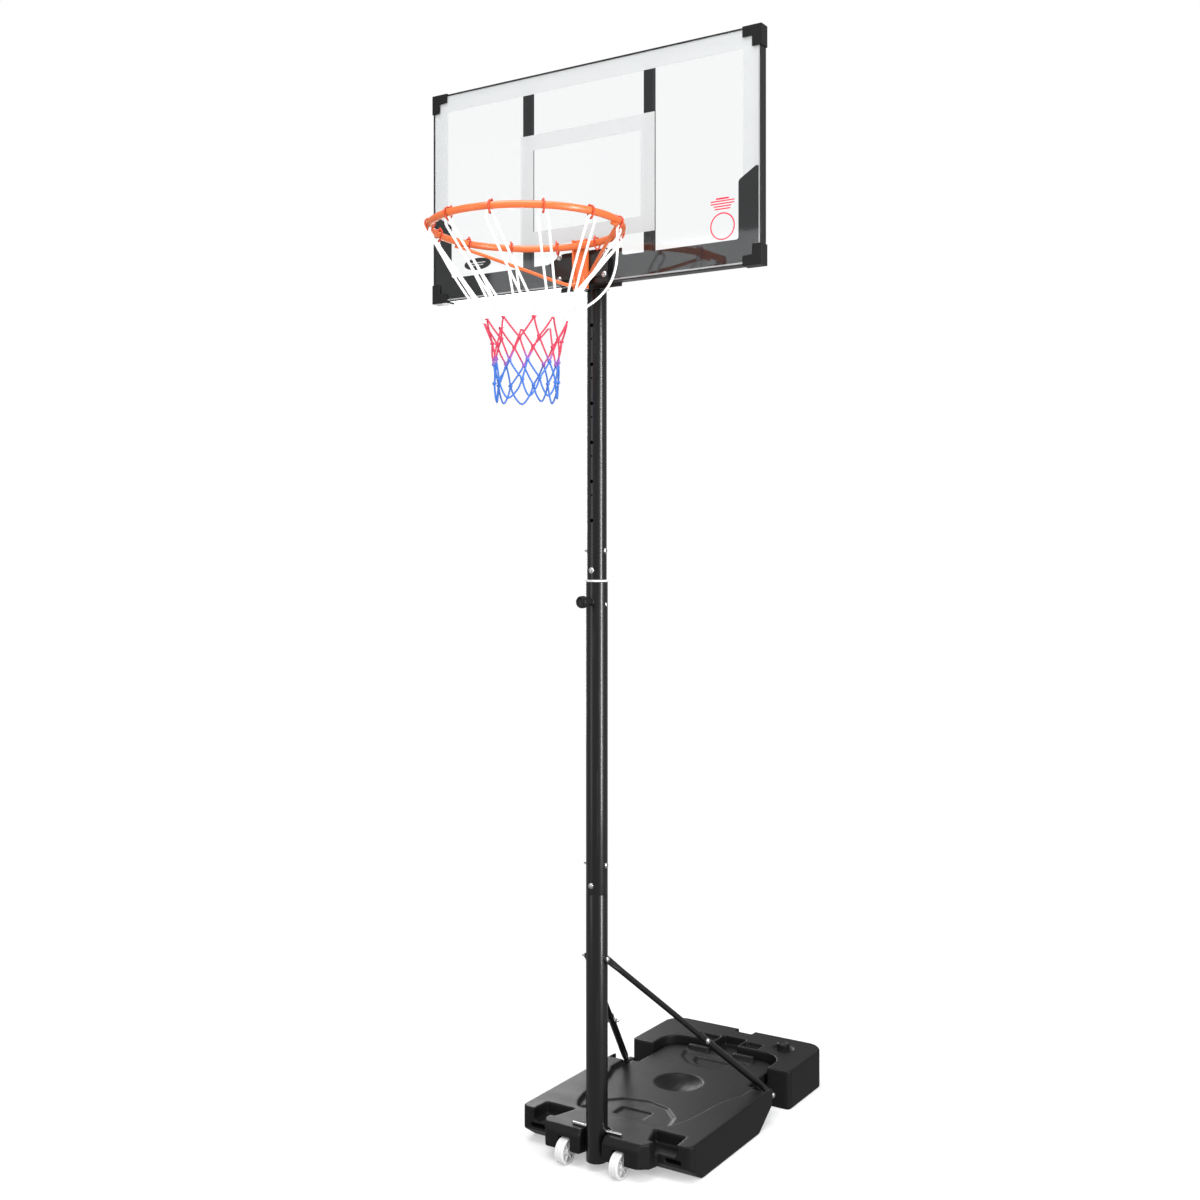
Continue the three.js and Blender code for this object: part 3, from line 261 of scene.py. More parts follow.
# %% Moulded plastics
def moulded(name, dark, pale, rough, grain, depth, dusty=0.5, gloss=0.5):
    """Grain from the mould, cloudy sheen, and dust where the surface faces up."""
    make = Finish(name)
    leather = make.noise(grain, 4, 0.6)
    cloud = make.noise(9, 4)
    marks = make.noise(55, 3, 0.6, (1, 0.12, 1)).step(0.64, 0.74)
    dust = make.facing_up() * cloud.step(0.35, 0.75) * dusty
    return make.surface(
        Base_Color=make.mix(dust * 0.5 + marks * 0.25, dark, pale),
        Roughness=rough + 0.14 * cloud + dust * 0.08 - leather * 0.08,
        Specular_IOR_Level=gloss,
        Normal=make.bump(leather + marks * 0.3, depth, 0.8),
    )


tank_plastic = moulded("tank_plastic", grey(0.0060), grey(0.012), 0.42, 520, 0.22 * MM, 0.3, 0.2)
black_plastic = moulded("black_plastic", grey(0.0075), grey(0.018), 0.30, 900, 0.08 * MM, 0.25, 0.3)
white_nylon = moulded("white_nylon", grey(0.50, 0.005), grey(0.40, 0.01), 0.28, 800, 0.04 * MM, 0.3)
seal_rubber = moulded("seal_rubber", grey(0.010), grey(0.02), 0.62, 700, 0.1 * MM, 0.3)
print("plastics:", tank_plastic.name, black_plastic.name, white_nylon.name, seal_rubber.name)


# %% [markdown]
# ## Plated steel
#
# Bolts, the rod and the axles are zinc plated: a bright metal with cloudy spangle and drawn lines. It is
# a metal with a varied roughness, because a mirror finish would only show the softboxes.


# %% Plated steel
def plated(name):
    make = Finish(name)
    spangle = make.noise(260, 3)
    brushed = make.noise(900, 2, 0.5, (1, 1, 0.08))
    return make.surface(
        Base_Color=make.mix(spangle, grey(0.62, 0.01), grey(0.86, -0.01)),
        Metallic=1.0,
        Roughness=0.17 + 0.16 * spangle,
        Normal=make.bump(brushed, 0.03 * MM, 0.5),
    )


bright_steel = plated("bright_steel")


# %% [markdown]
# ## Clear board and prints
#
# The board is a sheet of acrylic with screen-printed ink on its back. A refracting glass shader would be
# exact, but on a sheet 3 mm thick it only makes noise. The sheet mixes a transparent and a mirror shader
# instead, by a share that grows at a slant in the same way from both sides. The ink hardly shines, since
# the light passes the sheet first.


# %% Clear board and prints
def clear_sheet(name):
    """Acrylic lets nearly all light straight through and mirrors more at a grazing view."""
    make = Finish(name)
    faint = make.noise(3, 2)
    seen = make.add("ShaderNodeBsdfTransparent", None, {"Color": (0.990, 0.995, 0.996, 1)})
    gloss = make.add("ShaderNodeBsdfPrincipled", None, {
        "Base Color": (0.9, 0.92, 0.93, 1), "Metallic": 1.0, "Roughness": 0.03 + 0.03 * faint,
    })
    slant = make.add("ShaderNodeLayerWeight", None, {"Blend": 0.5}, "Facing")
    share = slant ** 5 * 0.86 + 0.04
    return make.close(make.add("ShaderNodeMixShader", None, {0: share, 1: seen, 2: gloss}))


def printed(name, colour, second, rough=0.5, alpha=1.0):
    """Screen-printed ink: flat, with a faint mesh of the screen in it."""
    make = Finish(name)
    mesh = (make.part("X") * 5200).sine() * (make.part("Z") * 5200).sine()
    cloud = make.noise(14, 3)
    return make.surface(
        Base_Color=make.mix(cloud * 0.6 + mesh * 0.04, colour, second),
        Roughness=rough + cloud * 0.08,
        Specular_IOR_Level=0.05,
        Alpha=alpha,
        Normal=make.bump(mesh, 0.01 * MM, 0.5),
    )


acrylic = clear_sheet("acrylic")
white_ink = printed("white_ink", grey(0.52), grey(0.56), 0.45, 0.84)
black_ink = printed("black_ink", grey(0.016), grey(0.020), 0.35)
red_ink = printed("red_ink", (0.62, 0.012, 0.05), (0.70, 0.03, 0.07))
# The grey edge ink below is painted highlight: it stands for the light that the frame's edge catches.
silver_ink = printed("silver_ink", grey(0.30), grey(0.36))


# %% [markdown]
# ## Ballast water
#
# The tanks are filled with water, which keeps the hoop standing. It is out of sight, but anyone who opens
# the model up should find it, so it has a finish of its own.


# %% Ballast water
def still_water(name):
    make = Finish(name)
    tint = make.mix(make.noise(12), (0.10, 0.22, 0.30), (0.14, 0.28, 0.36))
    return make.surface(Base_Color=tint, Roughness=0.1)


ballast_water = still_water("ballast_water")
print("finishes:", len(bpy.data.materials))

# %% [markdown]
# ## Turning, sweeping and easing
#
# Most of the hoop is round stock or bent sheet. Three helpers make it: `turned` spins a profile, as
# a lathe would, `swept` carries a section along a path, and `eased` takes the exact shape of a
# sheet or moulded node and rounds its edges. Sharp edges look false, because they catch no light.


# %% Meshes
def new_piece(name, bm, material, sharp=32):
    """Closes a bmesh into an object with smooth shading except at its sharp edges."""
    bmesh.ops.remove_doubles(bm, verts=bm.verts, dist=1e-6)
    bmesh.ops.recalc_face_normals(bm, faces=bm.faces)
    mesh = bpy.data.meshes.new(name)
    bm.to_mesh(mesh)
    bm.free()
    mesh.materials.append(material)
    mesh.shade_smooth()
    mesh.set_sharp_from_angle(angle=math.radians(sharp))
    made = bpy.data.objects.new(name, mesh)
    bpy.context.scene.collection.objects.link(made)
    return made


def joined(name, pieces, material, sharp=32):
    """Several pieces of one material as one mesh."""
    bm = bmesh.new()
    for each in pieces:
        bm.from_mesh(each.data)
        bpy.data.objects.remove(each)
    return new_piece(name, bm, material, sharp)


def settled(obj):
    """Turns an object with modifiers into a plain mesh of its final shape."""
    shape = obj.evaluated_get(bpy.context.evaluated_depsgraph_get())
    mesh = bpy.data.meshes.new_from_object(shape)
    obj.modifiers.clear()
    obj.data = mesh
    return obj


def fit(obj, body, slot, *nodes):
    """Hangs a piece on its body and lets it stand for CAD nodes, which it hides. The slot is not used."""
    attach(obj, body)
    if nodes:
        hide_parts(*nodes)
    return obj


# %% [markdown]
# ## Outlines and skins
#
# Every bent or spun piece starts as an outline. Its corners are eased by short curves, since a bevel
# afterwards would have to find them again, and rings of points are then joined into a skin of quads.


# %% Outlines and skins
def frame_of(axis):
    """Two directions square to an axis."""
    side = axis.cross(Z if abs(axis.z) < 0.9 else X).normalized()
    return side, axis.cross(side)


def rounded(points, radius, steps=4, closed=True):
    """The outline with its corners eased by short curves."""
    made = []
    count = len(points)
    for k, corner in enumerate(points):
        corner = Vector(corner)
        if not closed and k in (0, count - 1):
            made.append(corner)
            continue
        before, after = Vector(points[k - 1]) - corner, Vector(points[(k + 1) % count]) - corner
        reach = min(radius, before.length * 0.48, after.length * 0.48)
        start, end = corner + before.normalized() * reach, corner + after.normalized() * reach
        for step in range(steps + 1):
            t = step / steps
            made.append(start * (1 - t) ** 2 + corner * 2 * t * (1 - t) + end * t * t)
    return made


def skin(bm, rings, closed_along=False):
    """Joins rings of vertices by quads. A ring of one vertex is a pole."""
    pairs = list(zip(rings, rings[1:])) + ([(rings[-1], rings[0])] if closed_along else [])
    for low, high in pairs:
        count = max(len(low), len(high))
        for k in range(count):
            j = (k + 1) % count
            corners = [low[k % len(low)], low[j % len(low)], high[j % len(high)], high[k % len(high)]]
            kept = [v for n, v in enumerate(corners) if v is not corners[n - 1]]
            bm.faces.new(kept)


# %% [markdown]
# ## Turned and swept shapes
#
# A lathe makes anything round, and a bender anything that follows a line. Both could be modifiers, but a
# direct mesh keeps every edge where the profile says and closes its own ends.


# %% Turned and swept shapes
def turned(name, profile, material, at=(0, 0, 0), axis=Z, sides=64, ease=0.0006, hollow=False):
    """Spins (radius, height) pairs round an axis. A hollow profile is a closed loop."""
    side, other = frame_of(axis)
    line = rounded([Vector((r, h, 0)) for r, h in profile], ease, 3, hollow)
    bm = bmesh.new()
    rings = []
    for r, h, _ in line:
        turns = sides if r > 1e-7 else 1
        angles = [2 * math.pi * k / sides for k in range(turns)]
        centre = Vector(at) + axis * h
        rings.append([bm.verts.new(centre + (side * math.cos(a) + other * math.sin(a)) * r) for a in angles])
    skin(bm, rings, hollow)
    return new_piece(name, bm, material)


def swept(name, path, section, material):
    """Carries a section of (across, up) pairs along a path."""
    bm = bmesh.new()
    rings = []
    side = frame_of((path[1] - path[0]).normalized())[0]
    for k, point in enumerate(path):
        ahead = (path[min(k + 1, len(path) - 1)] - path[max(k - 1, 0)]).normalized()
        side = (side - ahead * side.dot(ahead)).normalized()
        up = ahead.cross(side)
        rings.append([bm.verts.new(point + side * a + up * b) for a, b in section])
    skin(bm, rings)
    bm.faces.new(rings[0])
    bm.faces.new(rings[-1])
    return new_piece(name, bm, material)


def circle(radius, count):
    angles = [2 * math.pi * k / count for k in range(count)]
    return [(radius * math.cos(a), radius * math.sin(a)) for a in angles]


def curved(points, steps=8):
    """A smooth line through the points."""
    ends = [points[0] * 2 - points[1], *points, points[-1] * 2 - points[-2]]
    made = []
    for a, b, c, d in zip(ends, ends[1:], ends[2:], ends[3:]):
        for step in range(steps):
            t = step / steps
            made.append(0.5 * (2 * b + (c - a) * t + (2 * a - 5 * b + 4 * c - d) * t ** 2
                               + (3 * b - a - 3 * c + d) * t ** 3))
    return made + [points[-1]]


# %% [markdown]
# ## Eased copies and holes
#
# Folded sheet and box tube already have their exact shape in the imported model. A bevel on a merged copy
# eases the edges, and booleans drill holes, as a drill would.


# %% Eased copies and holes
def eased(node, width, material, body, slot):
    """A copy of a node's shape with its edges rounded to a width."""
    bm = bmesh.new()
    bm.from_mesh(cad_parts[node].data)
    bmesh.ops.remove_doubles(bm, verts=bm.verts, dist=1e-5)
    bmesh.ops.dissolve_limit(bm, angle_limit=math.radians(1), verts=bm.verts, edges=bm.edges)
    made = new_piece(node + "_eased", bm, material)
    bevel = made.modifiers.new("edges", "BEVEL")
    bevel.width = width
    bevel.segments = 3
    bevel.limit_method = "ANGLE"
    bevel.angle_limit = math.radians(38)
    bevel.harden_normals = True
    bevel.use_clamp_overlap = True
    settled(made)
    return fit(made, body, slot, node)


def cut(obj, cutters):
    """Cuts holes and removes the cutters."""
    for cutter in cutters:
        hole = obj.modifiers.new("hole", "BOOLEAN")
        hole.operation, hole.solver, hole.object = "DIFFERENCE", "EXACT", cutter
    settled(obj)
    for cutter in cutters:
        bpy.data.objects.remove(cutter)
    obj.data.shade_smooth()
    obj.data.set_sharp_from_angle(angle=math.radians(32))
    return obj


def size(node):
    low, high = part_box(node)
    return high - low


def middle(node):
    low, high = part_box(node)
    return (low + high) / 2


# %% [markdown]
# ## Things that repeat
#
# Bolts, nuts, ribs, hooks and spokes are the same shape many times. A geometry tree makes the shape
# once from named sizes and stands a copy on every point of a small seed mesh. Each copy turns to
# face its own direction, which the seed keeps in an attribute.


# %% A tree that repeats a shape
class Pattern(Graph):
    """A geometry tree with named inputs. Its modifier runs once, and leaves a plain mesh."""

    def __init__(self, name):
        super().__init__(bpy.data.node_groups.new(name, "GeometryNodeTree"))
        self.sockets = {}
        self.tree.interface.new_socket("Geometry", in_out="INPUT", socket_type="NodeSocketGeometry")
        self.tree.interface.new_socket("Geometry", in_out="OUTPUT", socket_type="NodeSocketGeometry")
        self.entry = self.tree.nodes.new("NodeGroupInput")
        self.seed = Wire(self, self.entry.outputs[0])

    def named(self, name, kind="Float"):
        socket = self.tree.interface.new_socket(name, in_out="INPUT", socket_type="NodeSocket" + kind)
        self.sockets[name] = socket.identifier
        return Wire(self, self.entry.outputs[name])

    def attribute(self, name, kind="FLOAT_VECTOR"):
        return self.add("GeometryNodeInputNamedAttribute", {"data_type": kind}, {"Name": name})

    def move(self, geometry, place):
        return self.add("GeometryNodeSetPosition", None, {"Geometry": geometry, "Position": place})

    def end(self, geometry):
        whole = self.add("GeometryNodeRealizeInstances", None, {0: geometry})
        smooth = self.add("GeometryNodeSetShadeSmooth", None, {"Geometry": whole})
        finish = self.named("Material", "Material")
        coated = self.add("GeometryNodeSetMaterial", None, {"Geometry": smooth, "Material": finish})
        self.feed(coated, self.tree.nodes.new("NodeGroupOutput").inputs[0])
        return self

    def run(self, name, seed, material, **sizes):
        """Runs the tree on a seed mesh, with its inputs set by their identifiers."""
        made = bpy.data.objects.new(name, seed)
        bpy.context.scene.collection.objects.link(made)
        modifier = made.modifiers.new("pattern", "NODES")
        modifier.node_group = self.tree
        modifier[self.sockets["Material"]] = material
        for key, value in sizes.items():
            modifier[self.sockets[key.replace("_", " ")]] = value
        settled(made)
        made.data.set_sharp_from_angle(angle=math.radians(32))
        return made


def points_mesh(name, places, facings, reaches=None):
    """A seed mesh of loose points, each with the way it faces and how far it reaches."""
    mesh = bpy.data.meshes.new(name)
    mesh.from_pydata([tuple(p) for p in places], [], [])
    facing = mesh.attributes.new("facing", "FLOAT_VECTOR", "POINT")
    facing.data.foreach_set("vector", [c for f in facings for c in f])
    reach = mesh.attributes.new("reach", "FLOAT", "POINT")
    reach.data.foreach_set("value", reaches or [1.0] * len(places))
    return mesh


# %% [markdown]
# ## Studs
#
# A stud is a short cylinder that stands on a surface. Heads, nuts and washers differ only in radius,
# height, dome and number of sides, so one tree with those inputs makes every one of them.


# %% Studs: heads, nuts, washers and shanks
def stud_pattern():
    """A cylinder on every point, domed or flat, standing along its facing."""
    make = Pattern("studs")
    radius, height = make.named("Radius"), make.named("Height")
    dome, facets = make.named("Dome"), make.named("Facets", "Int")
    body = make.add("GeometryNodeMeshCylinder", {"fill_type": "TRIANGLE_FAN"}, {
        "Vertices": facets, "Side Segments": 8, "Radius": radius, "Depth": height})
    place = make.add("GeometryNodeInputPosition")
    up = make.part(2, place) / height + 0.5
    narrow = 1 - dome * (up ** 4)
    lift = make.add("ShaderNodeCombineXYZ", None, {
        0: make.part(0, place) * narrow, 1: make.part(1, place) * narrow,
        2: make.part(2, place) + height / 2})
    shaped = make.move(body, lift)
    turn = make.add("FunctionNodeAlignRotationToVector", {"axis": "Z"}, {"Vector": make.attribute("facing")})
    long = make.add("ShaderNodeCombineXYZ", None, {0: 1.0, 1: 1.0, 2: make.attribute("reach", "FLOAT")})
    stood = make.add("GeometryNodeInstanceOnPoints", None, {
        "Points": make.seed, "Instance": shaped, "Rotation": turn, "Scale": long})
    return make.end(stood)


studs = stud_pattern()
print("pattern inputs:", list(studs.sockets))

# %% [markdown]
# ## The pole
#
# Three tubes and a sliding inner one carry the board. Each is drawn tube with its ends deburred.
# The upper tube has a row of height holes, large ones for the lock pin and small ones between. Holes
# are cut with booleans, because they show daylight and a rounded edge that bump could not.

# %% Sizes of the pole
POLE_Y = middle("upper_pole").y
LOWER_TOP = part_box("middle_pole")[0].z
GAP = 0.3 * MM
WALL = 1.3 * MM
HOLE = 10 * MM
SMALL_HOLE = 5 * MM
HOLE_PITCH = 103.4 * MM
FIRST_HOLE = 157 * MM
SMALL_BELOW = 36 * MM
PIN_HOLE = 10.2 * MM
BOLT_HOLE = 7.8 * MM
LOCK_Z = middle("lock_boss").z
print("pole seam at", round(LOWER_TOP, 3), "lock at", round(LOCK_Z, 3))


# %% [markdown]
# ## Tubes with holes
#
# A tube is turned as a closed ring, with its inside wall, because its end and its holes show the wall.
# A tube joint has a narrower neck that enters the next tube, as on the real pole.


# %% Tubes with holes
def on_pole(height):
    return Vector((0, POLE_Y, height))


def drill(height, diameter, axis, reach=0.06, start=0.0):
    """A cutter for one hole, from the pole's axis or right through."""
    profile = [(0, start), (diameter / 2, start), (diameter / 2, reach), (0, reach)]
    return turned("drill", profile, black_plastic, on_pole(height), axis, 32, 1e-6)


def pole_tube(node, body, low, high, radius, drills, neck=None):
    """A tube with its holes cut. A neck is a narrower end, as (its top, its radius)."""
    inner = radius - WALL
    profile = [(inner, low), (radius, low), (radius, high)]
    if neck:
        top, narrow = neck
        profile += [(narrow, high), (narrow, top), (narrow - WALL, top), (narrow - WALL, high - 0.01)]
        profile += [(inner, high - 0.02)]
    else:
        profile += [(inner, high)]
    tube = turned(node + "_tube", profile, pole_paint, (0, POLE_Y, 0), Z, 96, 0.0005, True)
    return fit(cut(tube, drills), body, "black_paint", node)


def bolt_hole(height, axis):
    return drill(height, BOLT_HOLE, axis, 0.06, -0.06)


def crossing(joint):
    """The two holes of a joint: one bolt runs front to back, and the next from side to side."""
    return [bolt_hole(middle(joint + "_bolt_front").z, COURT), bolt_hole(middle(joint + "_bolt_side").z, X)]


pole_radius = size("middle_pole").x / 2
slide_radius = size("upper_pole").x / 2

low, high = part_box("lower_pole")
side_holes = [bolt_hole(middle(node).z, X) for node in ("brace_top_bolt", "lock_rod")]
pole_tube("lower_pole", "base", low.z, LOWER_TOP - GAP, pole_radius, crossing("pole_joint") + side_holes,
          (high.z, pole_radius - WALL - 0.2 * MM))

low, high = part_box("middle_pole")
pole_tube("middle_pole", "base", low.z, high.z, pole_radius,
          crossing("pole_joint") + [drill(LOCK_Z, PIN_HOLE, COURT)])

low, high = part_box("upper_pole")
upper_start = low.z
height_drills = []
for step in range(6):
    height = upper_start + FIRST_HOLE + step * HOLE_PITCH
    height_drills.append(drill(height, HOLE, COURT))
    if step:
        height_drills.append(drill(height - SMALL_BELOW, SMALL_HOLE, COURT))
bracket_drills = [bolt_hole(middle("bracket_bolt_" + level).z, X) for level in ("high", "low")]
pole_tube("upper_pole", "sliding_top", low.z, high.z, slide_radius,
          crossing("upper_joint") + height_drills + bracket_drills)

low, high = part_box("inner_pole")
inner_drills = [drill(LOCK_Z - step * HOLE_PITCH, HOLE, COURT) for step in range(7)]
pole_tube("inner_pole", "sliding_top", low.z, upper_start - GAP, slide_radius,
          crossing("upper_joint") + inner_drills, (high.z, slide_radius - WALL - 0.2 * MM))
print("poles cut with", len(height_drills) + len(inner_drills), "height holes")

# %% [markdown]
# ## Bushes, lock boss and knob
#
# White nylon bushes keep paint off paint where the pole slides. The lock is a knob that is pulled
# out of its threaded boss against a spring. Its finger flutes are ribs placed by a pattern.

# %% Bushes
low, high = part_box("guide_bush")
flange_radius, flange_low = size("guide_bush").x / 2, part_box("middle_pole")[1].z + GAP
sleeve, bore = pole_radius - 1.5 * MM, slide_radius + GAP
bush = turned("guide_bush_ring", [
    (bore, low.z), (sleeve, low.z), (sleeve, flange_low), (flange_radius, flange_low),
    (flange_radius, high.z), (bore, high.z)], white_nylon, (0, POLE_Y, 0), Z, 96, 0.0009, True)
cut(bush, [drill(LOCK_Z, PIN_HOLE, COURT)])
fit(bush, "base", "white_plastic", "guide_bush")
low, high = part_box("lower_guide_bush")
fit(turned("lower_bush_ring", [(bore, low.z), (sleeve, low.z), (sleeve, high.z), (bore, high.z)],
           white_nylon, (0, POLE_Y, 0), Z, 96, 0.0006, True), "base", "white_plastic", "lower_guide_bush")


# %% [markdown]
# ## Ribs
#
# Finger flutes, spokes and the bar of the knob are all rounded bars. Instances on points place them, and
# each point keeps a full turn, because a bar that only faces outwards could still roll about its axis.


# %% Ribs round an axis
def rib_pattern():
    """A rounded bar on every point, as long as the point's reach and turned to its facing."""
    make = Pattern("ribs")
    long, wide, deep = make.named("Length"), make.named("Width"), make.named("Depth")
    line = make.add("GeometryNodeCurvePrimitiveLine", None, {
        0: make.add("ShaderNodeCombineXYZ", None, {2: long * -0.5}),
        1: make.add("ShaderNodeCombineXYZ", None, {2: long * 0.5})})
    section = make.add("GeometryNodeCurvePrimitiveCircle", None, {"Resolution": 10, "Radius": 0.5})
    bar = make.add("GeometryNodeCurveToMesh", None, {0: line, 1: section, "Fill Caps": True})
    flat = make.add("GeometryNodeTransform", None, {0: bar, "Scale": make.add(
        "ShaderNodeCombineXYZ", None, {0: wide, 1: deep, 2: 1.0})})
    turn = make.add("GeometryNodeInputNamedAttribute", {"data_type": "QUATERNION"}, {"Name": "stance"})
    return make.end(make.add("GeometryNodeInstanceOnPoints", None, {
        "Points": make.seed, "Instance": flat, "Rotation": turn}))


ribs = rib_pattern()


def stances(places, turns):
    """A seed mesh of points, each with a full turn: where its X, Y and Z go."""
    mesh = bpy.data.meshes.new("stances")
    mesh.from_pydata([tuple(p) for p in places], [], [])
    stance = mesh.attributes.new("stance", "QUATERNION", "POINT")
    for k, turn in enumerate(turns):
        stance.data[k].value = turn.to_quaternion()
    return mesh


def ring_of(count, centre, axis, radius):
    """Places and turns for a ring: each copy's Y points out and its Z along the axis."""
    side, other = frame_of(axis)
    places, turns = [], []
    for k in range(count):
        angle = 2 * math.pi * k / count
        out = side * math.cos(angle) + other * math.sin(angle)
        places.append(centre + out * radius)
        turns.append(Matrix((out.cross(axis), out, axis)).transposed())
    return places, turns


# %% [markdown]
# ## Lock boss, pin and knob
#
# A threaded boss is welded to the pole, and the knob on its front pulls the pin out of the hole. All three
# are turned on one axis. They are separate pieces because the knob and pin move and the boss does not.


# %% Lock boss, pin and knob
def lock_parts():
    low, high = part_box("lock_boss")
    end = POLE_Y - low.y
    profile = [(5.2 * MM, 0.0292), (12.5 * MM, 0.0292), (11.5 * MM, 0.033), (9 * MM, 0.034),
               (9 * MM, end), (5.2 * MM, end)]
    tube = turned("boss", profile, pole_paint, on_pole(LOCK_Z), COURT, 48, 0.0006, True)
    nut = turned("nut", [(9 * MM, 0.036), (11 * MM, 0.036), (11 * MM, 0.047), (9 * MM, 0.047)],
                 pole_paint, on_pole(LOCK_Z), COURT, 6, 0.0004, True)
    fit(joined("lock_boss_and_nut", [tube, nut], pole_paint), "base", "black_paint", "lock_boss")

    near, far = POLE_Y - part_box("lock_knob")[1].y, POLE_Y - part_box("lock_knob")[0].y
    radius = size("lock_knob").x / 2
    side = radius - 1.1 * MM
    profile = [(0, near), (10 * MM, near), (10.5 * MM, near + 2 * MM), (radius - 2 * MM, near + 3.5 * MM),
               (side, near + 6 * MM), (side, far - 2 * MM), (radius - 2.4 * MM, far),
               (radius - 4.6 * MM, far), (radius - 6 * MM, far - 4 * MM), (0, far - 4 * MM)]
    body = turned("knob", profile, black_plastic, on_pole(LOCK_Z), COURT, 64, 0.0009)
    centre = on_pole(LOCK_Z) + COURT * ((near + far) / 2 + 1 * MM)
    grip = ribs.run("grip", stances(*ring_of(20, centre, COURT, radius - 1.4 * MM)), black_plastic,
                    Length=far - near - 8 * MM, Width=2.6 * MM, Depth=2.6 * MM)
    lean = (X - Z).normalized()
    across = Matrix((COURT.cross(lean), COURT, lean)).transposed()
    bar = ribs.run("bar", stances([on_pole(LOCK_Z) + COURT * (far - 3 * MM)], [across]), black_plastic,
                   Length=19 * MM, Width=4.4 * MM, Depth=4.4 * MM)
    fit(joined("lock_knob_grip", [body, grip, bar], black_plastic), "lock", "black_plastic", "lock_knob")

    low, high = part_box("lock_pin")
    fit(turned("lock_pin_rod", [(0, POLE_Y - high.y), (4.5 * MM, POLE_Y - high.y),
                                (4.5 * MM, POLE_Y - low.y), (0, POLE_Y - low.y)],
               bright_steel, on_pole(LOCK_Z), COURT, 32, 0.0012), "lock", "bright_steel", "lock_pin")


lock_parts()
print("lock knob", [round(v, 4) for v in size("lock_knob")])

# %% [markdown]
# ## Bolts, nuts and rivets
#
# Every through-bolt has a domed head on a washer, a shank, and a hexagon nut. One stud pattern makes
# all four, from the ends of each bolt's own box.


# %% Fasteners
HEAD_RADIUS, NUT_RADIUS, SHANK_RADIUS = 6.6 * MM, 6.8 * MM, 3.5 * MM


def fasteners(name, bolts):
    """bolts are (head end, nut end) pairs of points, one for each through-bolt."""
    out = [(h - n).normalized() for h, n in bolts]
    heads = [h - d * 4 * MM for (h, n), d in zip(bolts, out)]
    nuts = [n + d * 5 * MM for (h, n), d in zip(bolts, out)]
    back = [-d for d in out]
    reach = [(h - n).length for h, n in zip(heads, nuts)]
    parts = []
    for part, places, facings, radius, height, dome, facets in (
            ("washers", heads, out, HEAD_RADIUS + 1.2 * MM, 1.1 * MM, 0.05, 32),
            ("heads", heads, out, HEAD_RADIUS, 4 * MM, 0.62, 32),
            ("nut_washers", nuts, back, NUT_RADIUS + 0.7 * MM, 1 * MM, 0.05, 32),
            ("nuts", nuts, back, NUT_RADIUS, 4 * MM, 0.1, 6),
            ("tips", nuts, back, SHANK_RADIUS - 0.2 * MM, 11 * MM, 0.25, 24)):
        parts.append(studs.run(part, points_mesh(part, places, facings), bright_steel, Radius=radius,
                               Height=height, Dome=dome, Facets=facets))
    parts.append(studs.run("shanks", points_mesh("shanks", nuts, out, reach), bright_steel,
                           Radius=SHANK_RADIUS, Height=1.0, Dome=0.0, Facets=24))
    return joined(name, parts, bright_steel)


def bolt_ends(node, axis):
    """The head and nut ends of a bolt that lies along a main axis."""
    half = abs(size(node).dot(axis)) / 2
    return middle(node) + axis * half, middle(node) - axis * half


base_nodes = ["pole_joint_bolt_front", "pole_joint_bolt_side", "brace_top_bolt"]
base_bolts = [bolt_ends(base_nodes[0], COURT), bolt_ends(base_nodes[1], X), bolt_ends(base_nodes[2], X)]
for side, sign in SIDES:
    base_nodes += ["brace_foot_bolt_" + side, "brace_middle_bolt_" + side]
    base_bolts.append(bolt_ends("brace_foot_bolt_" + side, X * sign))
    down = middle("brace_foot_bolt_" + side) - middle("brace_top_bolt")
    face = down.cross(Z).normalized() * sign
    centre = middle("brace_middle_bolt_" + side)
    base_bolts.append((centre + face * 14.5 * MM, centre - face * 15.5 * MM))
fit(fasteners("base_bolts", base_bolts), "base", "bright_steel", *base_nodes)

top_nodes = ["upper_joint_bolt_front", "upper_joint_bolt_side", "bracket_bolt_high", "bracket_bolt_low"]
top_bolts = [bolt_ends(top_nodes[0], COURT)] + [bolt_ends(node, X) for node in top_nodes[1:]]
for side, _ in SIDES:
    for level in ("low", "high"):
        top_nodes.append(f"mount_bolt_{level}_{side}")
        top_bolts.append(bolt_ends(top_nodes[-1], COURT))
fit(fasteners("top_bolts", top_bolts), "sliding_top", "bright_steel", *top_nodes)

rivet_height = middle("bush_rivet_right").z
rivet_places = [on_pole(rivet_height) + X * sign * (pole_radius + 0.1 * MM) for _, sign in SIDES]
rivets = studs.run("rivets", points_mesh("rivets", rivet_places, [X, -X]), pole_paint, Radius=3.6 * MM,
                   Height=2.4 * MM, Dome=0.6, Facets=32)
fit(rivets, "base", "black_paint", "bush_rivet_right", "bush_rivet_left")
screw_place = on_pole(LOCK_Z - 8 * MM) + X * pole_radius
screw = studs.run("guide_screw", points_mesh("screw", [screw_place], [X]), bright_steel, Radius=6 * MM,
                  Height=3.6 * MM, Dome=0.5, Facets=32)
fit(screw, "base", "bright_steel")
print("bolts:", len(base_bolts) + len(top_bolts))

# %% [markdown]
# ## The tanks
#
# Blow-moulded tanks have no sharp edges: the plastic skin stretches over each corner and thins to a
# soft radius. The exact tank shape, filled where its water lies, is rebuilt from small cubes and
# relaxed, which rounds every edge of the moulding at once, as the process does.


